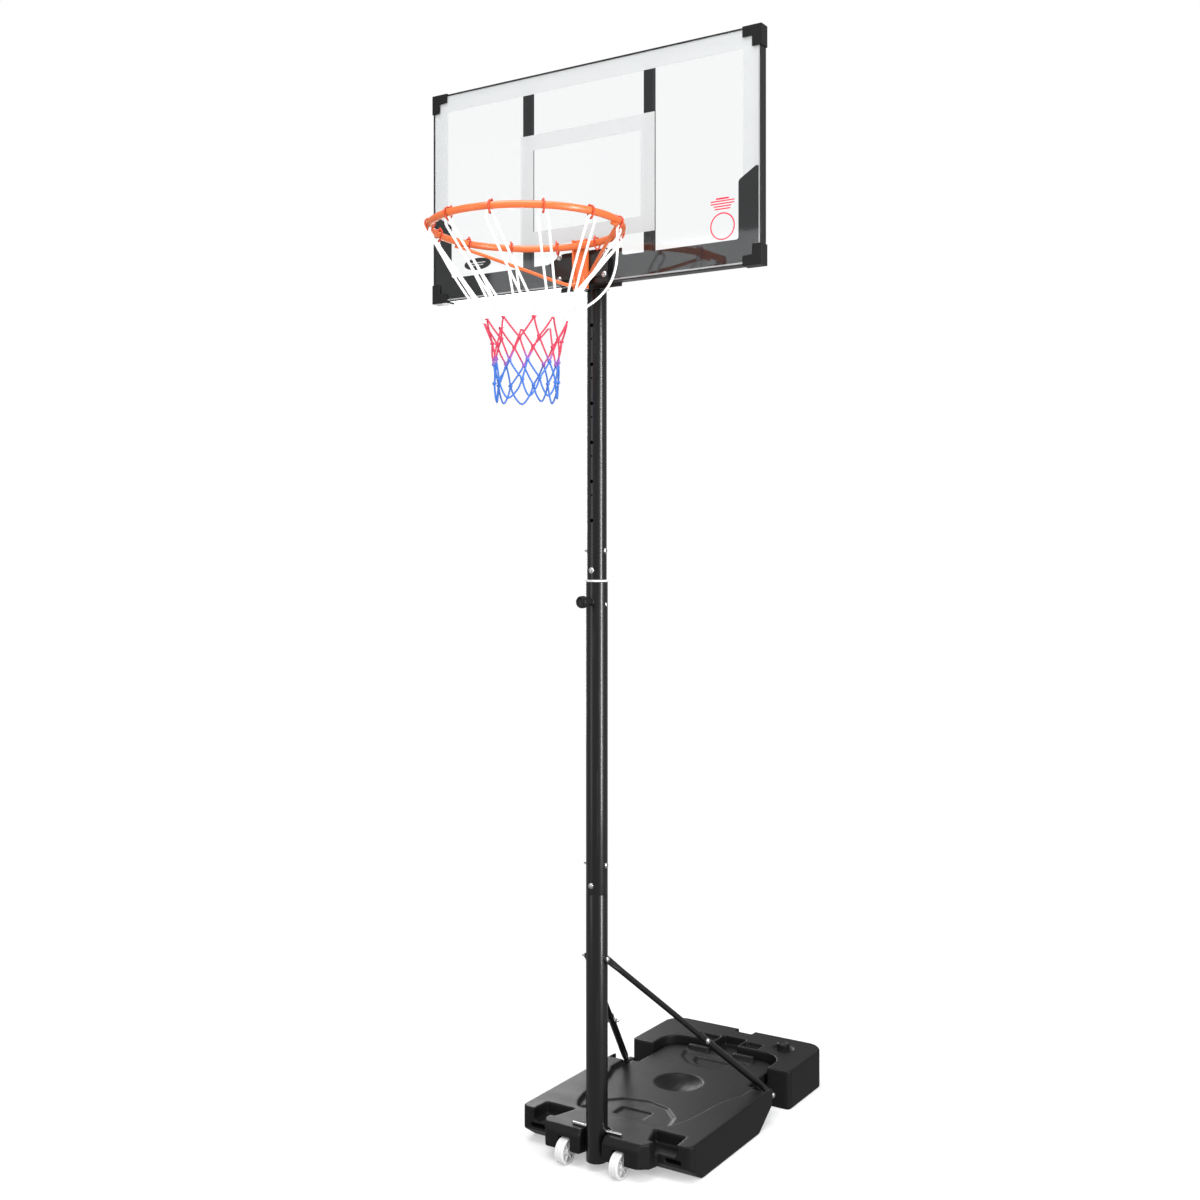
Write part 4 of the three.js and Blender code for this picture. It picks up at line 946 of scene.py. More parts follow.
# %% Blow-moulded shells
def blown(name, tank, water, voxel, passes, faces):
    """The tank's outer skin, softened."""
    bm = bmesh.new()
    for node in (tank, water):
        bm.from_mesh(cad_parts[node].data)
    bmesh.ops.remove_doubles(bm, verts=bm.verts, dist=1e-5)
    for vertex in bm.verts:
        vertex.co.z = max(vertex.co.z, 0.0)
    made = new_piece(name, bm, tank_plastic)
    cubes = made.modifiers.new("cubes", "REMESH")
    cubes.mode, cubes.voxel_size = "VOXEL", voxel
    relax = made.modifiers.new("relax", "SMOOTH")
    relax.factor, relax.iterations = 0.5, passes
    settled(made)

    bm = bmesh.new()
    bm.from_mesh(made.data)
    islands = []
    left = set(bm.verts)
    while left:
        island, edge = set(), [left.pop()]
        while edge:
            vertex = edge.pop()
            island.add(vertex)
            near = [e.other_vert(vertex) for e in vertex.link_edges]
            fresh = [v for v in near if v in left]
            left.difference_update(fresh)
            edge += fresh
        islands.append(island)
    outer = max(islands, key=len)
    bmesh.ops.delete(bm, geom=[v for v in bm.verts if v not in outer], context="VERTS")
    bm.to_mesh(made.data)
    bm.free()
    thin = made.modifiers.new("thin", "DECIMATE")
    thin.ratio = min(1.0, faces / (2 * len(made.data.polygons)))
    settled(made)
    made.data.materials.clear()
    made.data.materials.append(tank_plastic)
    made.data.shade_smooth()
    print(name, len(made.data.polygons), "faces,", len(islands), "islands")
    return fit(made, "base", "tank_plastic", tank)


VOXEL, RELAX = 2.6 * MM, 8
blown("front_tank_shell", "front_tank", "front_ballast", VOXEL, RELAX, 150000)
blown("rear_tank_shell", "rear_tank", "rear_ballast", VOXEL, RELAX, 90000)
for node in ("front_ballast", "rear_ballast"):
    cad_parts[node].data.materials.clear()
    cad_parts[node].data.materials.append(ballast_water)

# %% [markdown]
# ## Filler cap, wheels and rods
#
# The cap screws down on a rubber gasket, and its side is fluted for wet hands. The transport wheels
# are one moulding each: a tread, a thin web and six spokes.


# %% Filler cap and gasket
def cap_parts():
    low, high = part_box("filler_cap")
    seat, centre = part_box("cap_gasket")[1].z + 0.3 * MM, middle("filler_cap")
    radius, plug = size("filler_cap").x / 2, 15.9 * MM
    hub = Vector((centre.x, centre.y, 0))
    profile = [(0, low.z), (plug, low.z), (plug, seat), (radius - 0.9 * MM, seat),
               (radius - 0.9 * MM, high.z - 2 * MM), (radius - 3.4 * MM, high.z),
               (radius - 7 * MM, high.z), (radius - 8 * MM, high.z - 1.2 * MM), (0, high.z - 1.2 * MM)]
    body = turned("cap", profile, black_plastic, hub, Z, 72, 0.0008)
    long = high.z - seat - 3 * MM
    places, turns = ring_of(28, hub + Z * (seat + 0.4 * MM + long / 2), Z, radius - 1.05 * MM)
    flutes = ribs.run("flutes", stances(places, turns), black_plastic, Length=long, Width=2.2 * MM,
                      Depth=2.1 * MM)
    fit(joined("filler_cap_fluted", [body, flutes], black_plastic), "cap", "black_plastic", "filler_cap")
    low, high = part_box("cap_gasket")
    fit(turned("gasket_ring", [(16.5 * MM, low.z), (radius, low.z), (radius, high.z), (16.5 * MM, high.z)],
               seal_rubber, hub, Z, 64, 0.0008, True), "cap_seal", "seal_rubber", "cap_gasket")


cap_parts()


# %% [markdown]
# ## Wheels
#
# Each wheel is one nylon moulding. Its profile is turned, and six spokes a side are bars set by the rib
# pattern. Two shallow grooves round the tread catch the light and show when the wheel turns.


# %% Wheels
def wheel(side, sign):
    node = "wheel_" + side
    hub, radius, half = middle(node), size(node).z / 2, size(node).x / 2
    inner, web, bore, boss = radius - 5.5 * MM, 3 * MM, 4.5 * MM, 10 * MM
    groove = [(0, 0.24), (-1.2, 0.30), (-1.2, 0.36), (0, 0.42), (0, 0.86), (-1.6, 1)]
    rises = [(r, -h) for r, h in reversed(groove)] + groove
    tread = [(radius + r * MM, h * half) for r, h in rises]
    profile = [(bore, -half), (boss, -half), (boss, -web), (inner, -web), (inner - 1 * MM, -half), *tread,
               (inner - 1 * MM, half), (inner, web), (boss, web), (boss, half), (bore, half)]
    body = turned("rim", profile, white_nylon, hub, X * sign, 96, 0.0005, True)
    places, turns = [], []
    for face in (-1, 1):
        for k in range(6):
            angle = math.pi * k / 3
            out = Y * math.cos(angle) + Z * math.sin(angle)
            places.append(hub + out * (boss + inner) / 2 + X * face * half * 0.42)
            turns.append(Matrix((out.cross(X), X, out)).transposed())
    spokes = ribs.run("spokes", stances(places, turns), white_nylon, Length=inner - boss + 1.5 * MM,
                      Width=2.8 * MM, Depth=half * 1.05)
    fit(joined(node + "_moulding", [body, spokes], white_nylon), node, "white_plastic", node)
    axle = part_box("wheel_axle_" + side)
    reach = (axle[1].x - axle[0].x) / 2
    fit(turned("axle_" + side, [(0, -reach), (4 * MM, -reach), (4 * MM, reach), (0, reach)], bright_steel,
               hub, X, 32, 0.0008), "base", "bright_steel", "wheel_axle_" + side)


for side, sign in SIDES:
    wheel(side, sign)
rod = size("lock_rod")
reach, thick = rod.x / 2, rod.z / 2
fit(turned("lock_rod_round", [(0, -reach), (thick, -reach), (thick, reach), (0, reach)], bright_steel,
           middle("lock_rod"), X, 32, 0.0015), "base", "bright_steel", "lock_rod")

# %% [markdown]
# ## Braces
#
# Each brace is two telescoped tubes with a bolt through the overlap. Their outer ends are flattened
# in a press: the section goes from round to a flat eye, which a sweep with a changing section does.


# %% Braces
def brace(side, sign):
    """An upper and a lower tube that overlap at the middle bolt, each pressed flat at its eye."""
    top, foot = middle("brace_top_bolt"), middle("brace_foot_bolt_" + side)
    split = middle("brace_middle_bolt_" + side)
    plate, eye, press, lap = 5 * MM, 10 * MM, 55 * MM, 30 * MM
    start = Vector((sign * (pole_radius + 0.4 * MM + plate / 2), top.y, top.z))
    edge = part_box("brace_lower_" + side)[1 if sign > 0 else 0].x
    end = Vector((edge - sign * plate / 2, foot.y, foot.z))
    down = (end - start).normalized()
    across = X * sign
    for node, low, high, radius in (("brace_upper_", start, split + down * lap, 8 * MM),
                                    ("brace_lower_", end, split - down * lap, 10 * MM)):
        ahead = (high - low).normalized()
        length = (high - low).length
        marks = [-eye * 0.95, -eye * 0.6, 0, eye * 0.6] + [eye + press * k / 10 for k in range(11)]
        marks += [length * k / 8 for k in range(2, 9)]
        body = bmesh.new()
        rings = []
        for m in marks:
            share = min(max((eye + press - m) / press, 0), 1)
            share = share * share * (3 - 2 * share)
            tip = math.sqrt(max(0.0, 1 - (m / eye) ** 2)) if m < 0 else 1.0
            wide = (radius + (eye - radius) * share) * max(tip, 0.3)
            thin = radius + (plate / 2 - radius) * share
            out = (across - ahead * across.dot(ahead) * (1 - share)).normalized()
            up = ahead.cross(across).normalized()
            ring = []
            for k in range(28):
                a = 2 * math.pi * k / 28
                square = 1 + 0.35 * share * math.sin(2 * a) ** 2
                offset = out * thin * math.cos(a) * square + up * wide * math.sin(a)
                ring.append(body.verts.new(low + ahead * m + offset))
            rings.append(ring)
        skin(body, rings)
        body.faces.new(rings[0])
        body.faces.new(rings[-1])
        tube = new_piece(node + side + "_tube", body, pole_paint, 50)
        if node == "brace_lower_":
            inner, outer = radius - 1.7 * MM, radius + 0.6 * MM
            profile = [(inner, -1 * MM), (outer, -1 * MM), (outer, 3 * MM), (inner, 3 * MM)]
            collar = turned("collar", profile, pole_paint, high, ahead, 28, 0.0006, True)
            tube = joined(node + side + "_tube", [tube, collar], pole_paint, 50)
        fit(tube, "base", "black_paint", node + side)


for side, sign in SIDES:
    brace(side, sign)
print("brace tubes:", 2 * len(SIDES))

# %% [markdown]
# ## The board
#
# A frame of box tube holds an acrylic sheet, with moulded caps on its corners and folded brackets
# behind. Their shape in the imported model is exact, so they keep it, with eased edges.

# %% Frame, posts, caps and brackets
SIDE_NAMES = [side for side, _ in SIDES]
FRAME = ["frame_top", "frame_bottom"] + ["frame_" + side for side in SIDE_NAMES]
CAPS = [f"corner_cap_{level}_{side}" for level in ("top", "bottom") for side in SIDE_NAMES]
EASED = [(node, 1.2, "black_paint", pole_paint) for node in FRAME]
EASED += [("rear_post_" + side, 1.5, "black_paint", pole_paint) for side in SIDE_NAMES]
EASED += [
    ("pole_bracket", 0.7, "black_paint", pole_paint), ("mount_plate", 0.8, "black_paint", pole_paint),
    ("rim_bracket", 1.0, "orange_paint", rim_paint), ("board_panel", 0.5, "clear_panel", acrylic),
]
EASED += [(node, 1.1, "black_plastic", black_plastic) for node in CAPS]
for node, width, slot, material in EASED:
    eased(node, width * MM, material, "sliding_top", slot)
print("eased pieces:", len(EASED))


# %% [markdown]
# ## Prints
#
# The border, the square, the black band and the small marks are inks. They could be an image, but shapes
# stay sharp at any distance and need no file. Each film is a thin solid, and the layers are a tenth of a
# millimetre apart, so that no two faces lie in one plane. The marks are plain shapes without words.


# %% Prints
def film(name, loops, material, back, thick=0.08 * MM):
    """A thin print. Two loops of equal length make a frame, and one loop makes a filled shape."""
    bm = bmesh.new()
    rings = [[bm.verts.new((x, back, z)) for x, z in loop] for loop in loops]
    if len(rings) == 2:
        skin(bm, rings)
    else:
        for corners in tessellate_polygon([[v.co for v in rings[0]]]):
            bm.faces.new([rings[0][k] for k in corners])
    grown = bmesh.ops.extrude_face_region(bm, geom=bm.faces)
    for vertex in (v for v in grown["geom"] if isinstance(v, bmesh.types.BMVert)):
        vertex.co.y += thick
    return new_piece(name, bm, material)


def rectangle(x0, x1, z0, z1):
    return [(x0, z0), (x1, z0), (x1, z1), (x0, z1)]


def flat_rounded(points, radius, steps=6):
    return [(p.x, p.y) for p in rounded([Vector((x, z, 0)) for x, z in points], radius, steps)]


def oval(centre, wide, tall, count):
    return [(centre[0] + x * wide, centre[1] + z * tall) for x, z in circle(1.0, count)]


def bar(centre, half, top, deep):
    return [rectangle(centre - half, centre + half, top - deep, top)]


panel_low, panel_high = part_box("board_panel")
INSET = 0.6 * MM
LEFT, RIGHT = panel_low.x + INSET, panel_high.x - INSET
BOTTOM, TOP = panel_low.z + INSET, panel_high.z - INSET
BACK = panel_high.y + 0.03 * MM
BEHIND_BLACK = BACK + 0.10 * MM
OVER_BLACK, THINNER = BACK - 0.02 * MM, 0.01 * MM


def printed_on(name, films, ink):
    fit(joined(name, films, ink), "sliding_top", "clear_panel")


# %% [markdown]
# ## Which print lies where
#
# White is the last ink on the back of the sheet, so it lies behind the black. The grey edge line, a painted
# highlight for the light that the frame's edge catches on the right and at the bottom, and the bars of the
# badge lie in front. Sizes are measured from the sheet's own edges.


# %% White, black, badge and red prints
def white_prints(border=46 * MM, stripe=42 * MM):
    """A border round the board and the shooter's square."""
    half, low, high = 210 * MM, 2.460, 2.764
    printed_on("white_print", [
        film("border", [rectangle(LEFT, RIGHT, BOTTOM, TOP), rectangle(
            LEFT + border, RIGHT - border, BOTTOM + border, TOP - border)], white_ink, BEHIND_BLACK),
        film("target", [rectangle(-half, half, low, high), rectangle(
            stripe - half, half - stripe, low + stripe, high - stripe)], white_ink, BEHIND_BLACK),
    ], white_ink)


def black_prints():
    """The bottom band, with a step over the bracket and a tall wing at each end, and a grey line of painted
    highlight along the right and bottom edges.
    """
    band, tall, wing = BOTTOM + 62 * MM, 2.585, 448 * MM
    step_in, step_out, step_up = 72 * MM, 117 * MM, 24 * MM
    shoulder, corner, drop = tall - 31 * MM, 9 * MM, 6 * MM
    outline = [
        (LEFT, BOTTOM), (RIGHT, BOTTOM), (RIGHT, tall - drop), (RIGHT - corner, tall), (wing, shoulder),
        (wing, band), (step_out, band), (step_in, band + step_up), (-step_in, band + step_up),
        (-step_out, band), (-wing, band), (-wing, shoulder), (LEFT + corner, tall), (LEFT, tall - drop),
    ]
    fit(film("black_print", [flat_rounded(outline, 7 * MM)], black_ink, BACK), "sliding_top", "clear_panel")
    # Painted highlight: a 4 mm grey line along the right and bottom edges only, for the light that the
    # frame's edge catches.
    edge = 4 * MM
    lines = (LEFT, RIGHT, BOTTOM, BOTTOM + edge), (RIGHT - edge, RIGHT, BOTTOM + edge, TOP)
    printed_on("painted_edge_highlight", [film("line", [rectangle(*sides)], silver_ink, OVER_BLACK, THINNER)
                             for sides in lines], silver_ink)


def plain_badge(centre=(-0.357, 2.438)):
    """A plain oval with two bars in the lower left corner."""
    fit(film("plain_badge", [oval(centre, 46 * MM, 16.5 * MM, 48)], black_ink, BACK), "sliding_top",
        "clear_panel")
    printed_on("badge_bars", [
        film("bar", bar(centre[0], half, centre[1] + top, 2.6 * MM), white_ink, OVER_BLACK, THINNER)
        for half, top in ((26 * MM, 4.6 * MM), (19 * MM, -1.9 * MM))], white_ink)


def red_marks(centre=(0.404, 2.446)):
    """A ring under five bars in the lower right corner."""
    marks = [film("ring", [oval(centre, r, r, 64) for r in (34.2 * MM, 30.8 * MM)], red_ink, BACK)]
    for k, half in enumerate((18, 33, 33, 24, 22)):
        deep = 4.2 * MM if k == 0 else 3.0 * MM
        top = centre[1] + (71 - k * 6.6) * MM
        marks.append(film("bar", bar(centre[0], half * MM, top, deep), red_ink, BACK))
    printed_on("red_marks", marks, red_ink)


white_prints()
black_prints()
plain_badge()
red_marks()
print("prints between z", round(BOTTOM, 3), "and", round(TOP, 3))

# %% [markdown]
# ## The ring
#
# The ring is bent tube, welded to a folded bracket and braced by two round bars. Twelve wire hooks
# are welded round it. Each hook is one bent wire, so a pattern sweeps it once and repeats it.

# %% Ring, hooks and struts
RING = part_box("rim_ring")
TUBE = 9 * MM
RING_R = size("rim_ring").x / 2 - TUBE
RING_C = Vector((0, RING[0].y + RING_R + TUBE, RING[1].z - TUBE))


def ring_tube():
    bm = bmesh.new()
    rings = []
    for k in range(192):
        angle = 2 * math.pi * k / 192
        out = X * math.cos(angle) + Y * math.sin(angle)
        rings.append([bm.verts.new(RING_C + out * (RING_R + a) + Z * b) for a, b in circle(TUBE, 28)])
    skin(bm, rings, True)
    return new_piece("ring_tube", bm, rim_paint)


def wire_pattern():
    """Bends a wire along the seed's line and repeats it round a ring."""
    make = Pattern("hooks")
    wire, radius = make.named("Wire"), make.named("Ring")
    count, turn = make.named("Count", "Int"), make.named("Turn")
    line = make.add("GeometryNodeMeshToCurve", None, {0: make.seed})
    smooth = make.add("GeometryNodeCurveSplineType", {"spline_type": "CATMULL_ROM"}, {0: line})
    even = make.add("GeometryNodeResampleCurve", None, {"Curve": smooth, "Count": 44})
    section = make.add("GeometryNodeCurvePrimitiveCircle", None, {"Resolution": 12, "Radius": wire / 2})
    bent = make.add("GeometryNodeCurveToMesh", None, {0: even, 1: section, "Fill Caps": True})
    circle_of = make.add("GeometryNodeMeshCircle", None, {"Vertices": count, "Radius": radius})
    index = make.add("GeometryNodeInputIndex")
    angle = make.add("ShaderNodeCombineXYZ", None, {2: index * (2 * math.pi) / count})
    stood = make.add("GeometryNodeInstanceOnPoints", None, {
        "Points": circle_of, "Instance": bent, "Rotation": angle})
    spun = make.add("GeometryNodeTransform", None, {0: stood, "Rotation": make.add(
        "ShaderNodeCombineXYZ", None, {2: turn})})
    return make.end(spun)


def line_mesh(name, points):
    mesh = bpy.data.meshes.new(name)
    mesh.from_pydata([tuple(p) for p in points], [(k, k + 1) for k in range(len(points) - 1)], [])
    return mesh


HOOKS = 12
HOOK_TURN = math.radians(15)
HOOK_DROP = 16 * MM
hook_line = [Vector((r, t, h)) * MM for r, t, h in (
    (-5.5, 2.2, 16.5), (-9.5, 0.8, 11.5), (-11.6, 0, 4), (-11.0, 0, -4), (-7.4, 0, -10.8), (-4, 0, -15.8),
    (0, 0, -18), (4.4, 0, -15.8), (7.8, 0, -10.4), (11.0, 0, -4), (11.4, 0, 3.5), (8.0, 0, 9.0),
    (1.5, 0, 11.7), (-4.5, -1.0, 11.2), (-7.5, -2.2, 9.6))]
wires = wire_pattern()
# The hooks take the darker copy of the ring's orange, which is painted shade.
hooks = wires.run("hook_wires", line_mesh("hook_line", hook_line), hook_paint,
                  Wire=4.6 * MM, Ring=RING_R, Count=HOOKS, Turn=HOOK_TURN)
hooks.data.transform(Matrix.Translation(RING_C))
fit(hooks, "sliding_top", "orange_paint")
fit(ring_tube(), "sliding_top", "orange_paint", "rim_ring")


def strut(side, sign):
    """A round bar from under the ring to the foot of the bracket, with its ends bent to weld flat."""
    low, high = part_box("rim_strut_" + side)
    angle = math.radians(7.5)
    under = RING_C.z - TUBE - 4.2 * MM
    start = Vector((sign * RING_R * math.cos(angle), RING_C.y + RING_R * math.sin(angle), under))
    along = Vector((-sign * math.sin(angle), math.cos(angle), 0))
    foot = Vector((sign * 14 * MM, high.y - 4.7 * MM, low.z + 6 * MM))
    knee = start + along * 16 * MM
    path = curved([start - along * 10 * MM, start, knee, knee + (foot - knee) * 0.12, (knee + foot) / 2,
                   foot + (knee - foot) * 0.10, foot + Z * 10 * MM, foot + Z * 26 * MM])
    made = swept("rim_strut_bar_" + side, path, circle(4.5 * MM, 20), rim_paint)
    fit(made, "sliding_top", "orange_paint", "rim_strut_" + side)


for side, sign in SIDES:
    strut(side, sign)
print("ring radius", round(RING_R, 4), "with", HOOKS, "hooks")

# %% [markdown]
# ## The net
#
# A net is one rule repeated: from each of ten hooks a pair of legs hangs to one knot, and below it
# each knot sends a cord down to its left and right. Cloth or string simulation could hang it, but a
# rule with a little slack and disorder gives the same lines each time. The two hooks beside the
# bracket stay free, and one leg hangs loose.

# %% Lines of the net
random.seed(12)
NET_LOW, NET_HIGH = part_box("net")[0].z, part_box("net")[1].z
LOOPS = 10
FIRST_HOOK = 4
LOOSE_LEG = (8, -1)
NET_TURN = math.radians(132)
FIRST_KNOTS = NET_HIGH - 0.208
ROW = 50 * MM
ROWS = 4
WAIST, TAIL = 0.106, 0.082
WHITE_CORD, DYED_CORD = 6.8 * MM, 5.0 * MM
PURPLE_FROM, RED_FROM = 2.098, 2.114
BLEED = 12 * MM


def net_radius(height):
    return TAIL + (WAIST - TAIL) * math.exp((height - FIRST_KNOTS) / (34 * MM))


def round_net(angle, radius, height):
    return Vector((RING_C.x + radius * math.cos(angle), RING_C.y + radius * math.sin(angle), height))


def knot_rows():
    rows = []
    for row in range(ROWS):
        knots = []
        for k in range(LOOPS):
            angle = NET_TURN + 2 * math.pi * (k + row / 2) / LOOPS + random.uniform(-0.08, 0.08)
            height = FIRST_KNOTS - row * ROW + random.uniform(-4, 4) * (1 + 0.6 * (row > 0)) * MM
            radius = net_radius(height) + random.uniform(-4, 2) * MM
            knots.append(round_net(angle, radius, height))
        rows.append(knots)
    return rows


def slack(start, end, bow, sag):
    """A cord between two points, bowed outwards and sagging, as a list of points."""
    centre = Vector((RING_C.x, RING_C.y, 0))
    points = []
    for k in range(7):
        t = k / 6
        point = start.lerp(end, t)
        out = Vector((point.x, point.y, 0)) - centre
        points.append(point + (out.normalized() * bow - Z * sag) * math.sin(math.pi * t))
    return points


def net_lines():
    """(points, diameter) for every cord, and the knots."""
    rows = knot_rows()
    lines = []
    for k, knot in enumerate(rows[0]):
        angle = HOOK_TURN + 2 * math.pi * (k + FIRST_HOOK) / HOOKS
        along = Vector((-math.sin(angle), math.cos(angle), 0))
        seat = round_net(angle, RING_R, RING_C.z - HOOK_DROP + 3.4 * MM)
        legs = []
        for sign in (-1, 1):
            bow, sag = random.uniform(-10, 4) * MM, 4 * MM
            if (k, sign) == LOOSE_LEG:
                bow, sag = 46 * MM, 24 * MM
            apart = along * sign * random.uniform(7, 11) * MM
            shoulder = seat + along * sign * random.uniform(9, 13) * MM - Z * 14 * MM
            leg = slack(shoulder, knot + apart + Z * 12 * MM, bow, sag)
            legs.append([seat - Z * MM + along * sign * 5 * MM, *leg, knot])
        lines.append((legs[0][::-1] + [seat + Z * 1.2 * MM] + legs[1], WHITE_CORD))
    for upper, lower in zip(rows, rows[1:]):
        for k in range(LOOPS):
            for other in (k, (k - 1) % LOOPS):
                bow = random.uniform(-2, 3) * MM
                lines.append((slack(upper[k], lower[other], bow, random.uniform(0, 3) * MM), DYED_CORD))
    for k in range(LOOPS):
        left, right = rows[-1][k - 1], rows[-1][k]
        centre = left.lerp(right, random.uniform(0.4, 0.6))
        low = Vector((centre.x, centre.y, NET_LOW + random.uniform(3, 12) * MM))
        lines.append(([left, left.lerp(low, 0.55) + (left - centre) * 0.22, low,
                       right.lerp(low, 0.55) + (right - centre) * 0.22, right], DYED_CORD))
    return lines, rows


# %% [markdown]
# ## The lines as a seed mesh
#
# A pattern reads a mesh of edges. The cords differ in thickness, and each point keeps its own in an
# attribute, so that one tree can lay both the white and the dyed cord.


# %% Lines as a seed
def net_seed():
    """The lines as a seed mesh whose points keep their cord's diameter."""
    lines, rows = net_lines()
    points, edges, widths = [], [], []
    for line, width in lines:
        edges += [(len(points) + k, len(points) + k + 1) for k in range(len(line) - 1)]
        points += line
        widths += [width] * len(line)
    mesh = bpy.data.meshes.new("net_seed")
    mesh.from_pydata([tuple(p) for p in points], edges, [])
    thick = mesh.attributes.new("thick", "FLOAT", "POINT")
    thick.data.foreach_set("value", widths)
    print(len(lines), "cords")
    return mesh, rows


# %% [markdown]
# ## Laid cord and knots
#
# Net cord is laid from three strands. A round tube with a striped bump would look flat at its edges, so
# the section has three lobes and the tilt of the curve twists them. The knots are a lump with two turns
# of cord round it. The cord is dyed in bands, which a step of height makes.


# %% Laid cord and knots
def cord_pattern():
    """Lays three-strand cord along the seed's lines."""
    make = Pattern("laid_cord")
    pitch, step, lobes = make.named("Lay"), make.named("Step"), make.named("Lobe")
    line = make.add("GeometryNodeMeshToCurve", None, {0: make.seed})
    smooth = make.add("GeometryNodeCurveSplineType", {"spline_type": "CATMULL_ROM"}, {0: line})
    even = make.add("GeometryNodeResampleCurve", {"mode": "LENGTH"}, {"Curve": smooth, "Length": step})
    along = make.add("GeometryNodeSplineParameter", None, None, "Length")
    laid = make.add("GeometryNodeSetCurveTilt", None, {0: even, "Tilt": along * (2 * math.pi / 3) / pitch})
    disc = make.add("GeometryNodeCurvePrimitiveCircle", None, {"Resolution": 12, "Radius": 0.46})
    spot = make.add("GeometryNodeInputPosition")
    turn = make.add("GeometryNodeSplineParameter", None, None, "Factor") * (6 * math.pi)
    swell = 1 + turn.sine() * lobes
    section = make.move(disc, make.add("ShaderNodeVectorMath", {"operation": "SCALE"}, {
        0: spot, "Scale": swell}))
    return make.end(make.add("GeometryNodeCurveToMesh", None, {
        0: laid, 1: section, "Scale": make.attribute("thick", "FLOAT"), "Fill Caps": True}))


def knot_pattern():
    """A wrapped knot on every point: a lump with two turns of cord round it."""
    make = Pattern("knots")
    wide = make.named("Width")
    lump = make.add("GeometryNodeMeshIcoSphere", None, {"Radius": wide * 0.52, "Subdivisions": 3})
    turns = [lump]
    for tilt in (-0.5, 0.5):
        hoop = make.add("GeometryNodeCurvePrimitiveCircle", None, {"Resolution": 18, "Radius": wide * 0.42})
        cord = make.add("GeometryNodeCurvePrimitiveCircle", None, {"Resolution": 8, "Radius": wide * 0.24})
        band = make.add("GeometryNodeCurveToMesh", None, {0: hoop, 1: cord})
        turns.append(make.add("GeometryNodeTransform", None, {0: band, "Rotation": (tilt, 0.35 * tilt, 0)}))
    whole = make.add("GeometryNodeJoinGeometry")
    for part in turns:
        make.feed(part, whole.socket.node.inputs[0])
    turn = make.add("FunctionNodeAlignRotationToVector", {"axis": "X"}, {"Vector": make.attribute("facing")})
    return make.end(make.add("GeometryNodeInstanceOnPoints", None, {
        "Points": make.seed, "Instance": whole, "Rotation": turn}))


def net_cord(name):
    """Polyester dyed in bands: white legs, then red, a purple join, and blue."""
    make = Finish(name)
    height = make.part("Z") + (make.noise(30, 2) - 0.5) * (22 * MM)
    fibre = make.noise(1500, 2, 0.6, (1, 1, 0.3))
    soil = make.noise(45, 3)
    white = make.mix(soil * 0.5, grey(0.82), grey(0.70, 0.01))
    red = make.mix(fibre, (0.40, 0.016, 0.050), (0.60, 0.05, 0.10))
    purple = make.mix(fibre, (0.20, 0.05, 0.30), (0.30, 0.10, 0.40))
    blue = make.mix(fibre, (0.020, 0.085, 0.36), (0.05, 0.17, 0.54))
    low = make.mix(height.step(PURPLE_FROM, PURPLE_FROM + BLEED), blue, purple)
    dyed = make.mix(height.step(RED_FROM, RED_FROM + BLEED), low, red)
    frayed = make.part("Z") + (fibre - 0.5) * 0.004
    colour = make.mix(frayed.step(FIRST_KNOTS - 2 * MM, FIRST_KNOTS + 1 * MM), dyed, white)
    return make.surface(Base_Color=colour, Roughness=0.62 + 0.25 * fibre,
                        Normal=make.bump(fibre, 0.25 * MM, 0.6))


cord_finish = net_cord("net_cord_dyed")
seed, rows = net_seed()
cords = cord_pattern().run("cords", seed, cord_finish, Lay=7 * MM, Step=3.2 * MM, Lobe=0.16)
knots = [knot for row in rows for knot in row]
outward = [Vector((p.x - RING_C.x, p.y - RING_C.y, 0)).normalized() for p in knots]
ties = knot_pattern().run("ties", points_mesh("knots", knots, outward), cord_finish, Width=8.4 * MM)
net = joined("net_laid_cord", [cords, ties], cord_finish, 60)
fit(net, "sliding_top", "net_cord", "net")
print("net:", len(net.data.polygons), "faces")

# %% [markdown]
# ## Light and floor
#
# Long softboxes at both sides draw the two streaks down the pole. The floor is lit where the hoop
# stands and fades to the white of the studio further out, so that no horizon shows from any side.


# %% Studio
def softbox(name, place, aim, wide, tall, power):
    light = bpy.data.lights.new(name, "AREA")
    light.shape, light.size, light.size_y = "RECTANGLE", wide, tall
    light.energy = power
    lamp = bpy.data.objects.new(name, light)
    lamp.location = place
    lamp.rotation_euler = (Vector(aim) - Vector(place)).to_track_quat("-Z", "Y").to_euler()
    lamp.visible_camera = False
    bpy.context.scene.collection.objects.link(lamp)
    return lamp


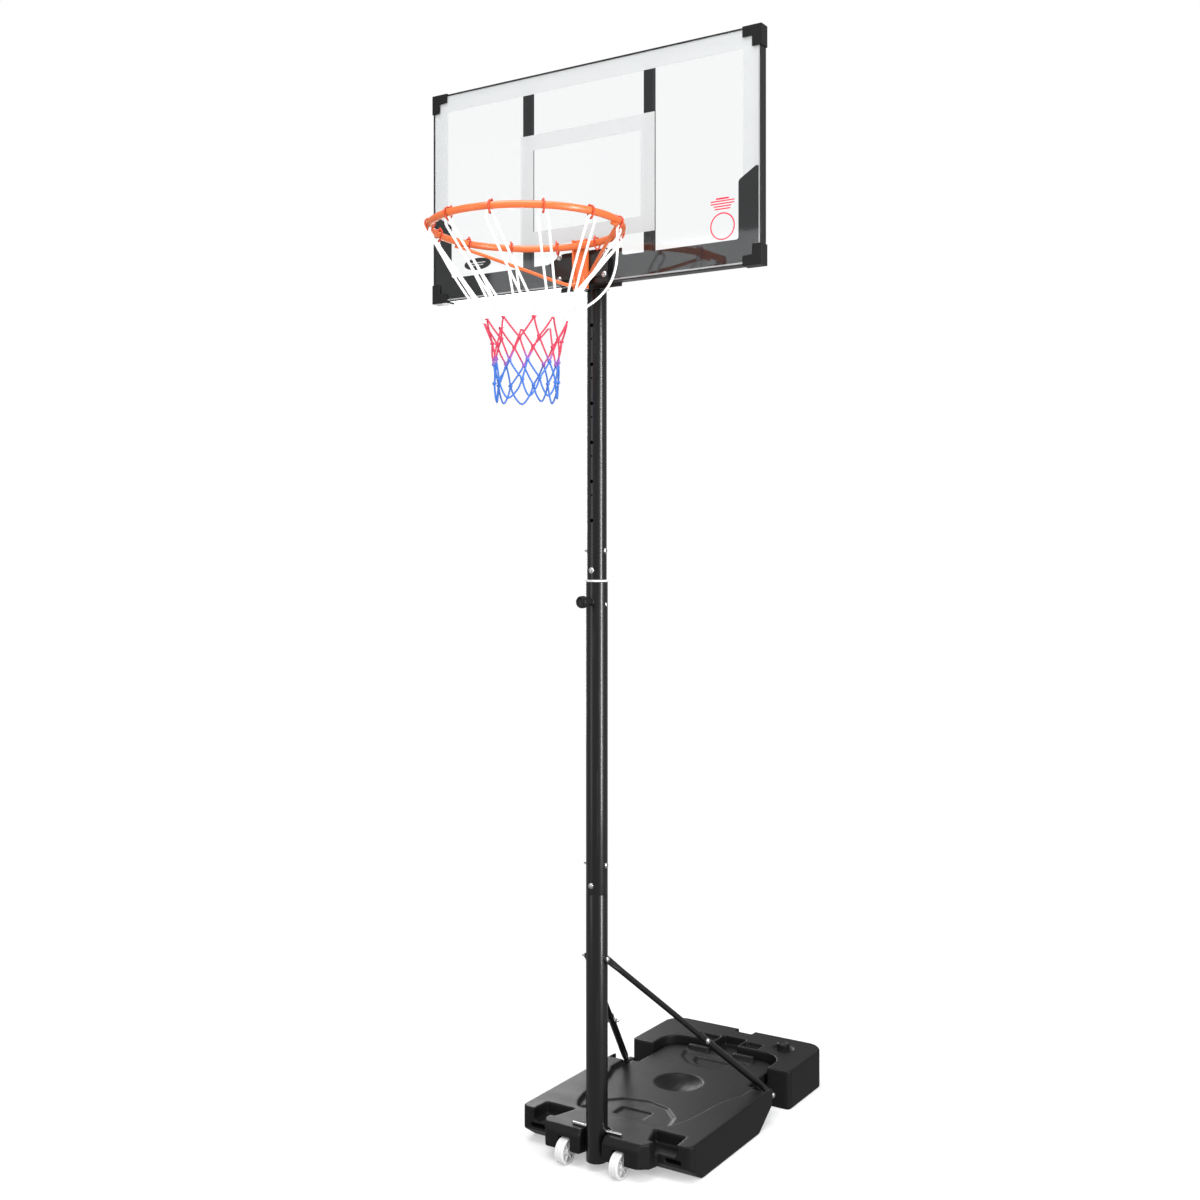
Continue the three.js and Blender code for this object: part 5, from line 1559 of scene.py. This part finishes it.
softbox("right_strip", (3.2, -0.5, 1.6), (0, POLE_Y, 1.5), 0.45, 3.6, 130)
softbox("left_box", (-2.3, -4.2, 1.75), (-2.3, 0, 1.75), 2.0, 3.4, 28)
softbox("top_box", (0.3, -1.6, 6.4), (0, 0, 0.5), 4.0, 4.0, 260)
softbox("back_strip", (-2.4, 2.8, 2.2), (0, 0, 1.5), 0.7, 3.2, 60)
softbox("front_fill", (1.6, -5.4, 3.2), (0, 0, 1.6), 4.0, 4.0, 270).visible_glossy = False


def studio_world():
    """Plain white to the camera, and a softer grey to light the object."""
    world = bpy.data.worlds.new("studio")
    bpy.context.scene.world = world
    world.use_nodes = True
    make = Graph(world.node_tree)
    seen = make.add("ShaderNodeLightPath", out="Is Camera Ray")
    mirrored = make.add("ShaderNodeLightPath", out="Is Glossy Ray")
    white = make.add("ShaderNodeBackground", None, {"Color": (1, 1, 1, 1), "Strength": 1.0})
    soft, dim = (make.add("ShaderNodeBackground", None, {"Color": (0.97, 0.98, 1, 1), "Strength": strength})
                 for strength in (0.70, 0.30))
    lit = make.add("ShaderNodeMixShader", None, {0: mirrored, 1: soft, 2: dim})
    make.add("ShaderNodeOutputWorld", None, {
        "Surface": make.add("ShaderNodeMixShader", None, {0: seen, 1: lit, 2: white})})


def floor():
    bm = bmesh.new()
    bmesh.ops.create_circle(bm, cap_ends=True, segments=96, radius=30)
    for vertex in bm.verts:
        vertex.co.z = -0.4 * MM
    make = Finish("studio_floor")
    away = make.add("ShaderNodeVectorMath", {"operation": "LENGTH"}, {0: make.place}, "Value")
    lit = make.add("ShaderNodeBsdfDiffuse", None, {"Color": (0.80, 0.80, 0.80, 1)})
    glow = make.add("ShaderNodeEmission", None, {"Color": (1, 1, 1, 1), "Strength": 1.0})
    dim = make.add("ShaderNodeEmission", None, {"Color": (1, 1, 1, 1), "Strength": 0.28})
    share = away.step(0.7, 2.0) * 0.65 + 0.35
    seen = make.add("ShaderNodeMixShader", None, {0: share, 1: lit, 2: glow})
    mirrored = make.add("ShaderNodeLightPath", out="Is Glossy Ray")
    make.close(make.add("ShaderNodeMixShader", None, {0: mirrored, 1: seen, 2: dim}))
    new_piece("studio_floor", bm, make.material)


studio_world()
floor()
bpy.context.scene.view_settings.view_transform = "Standard"
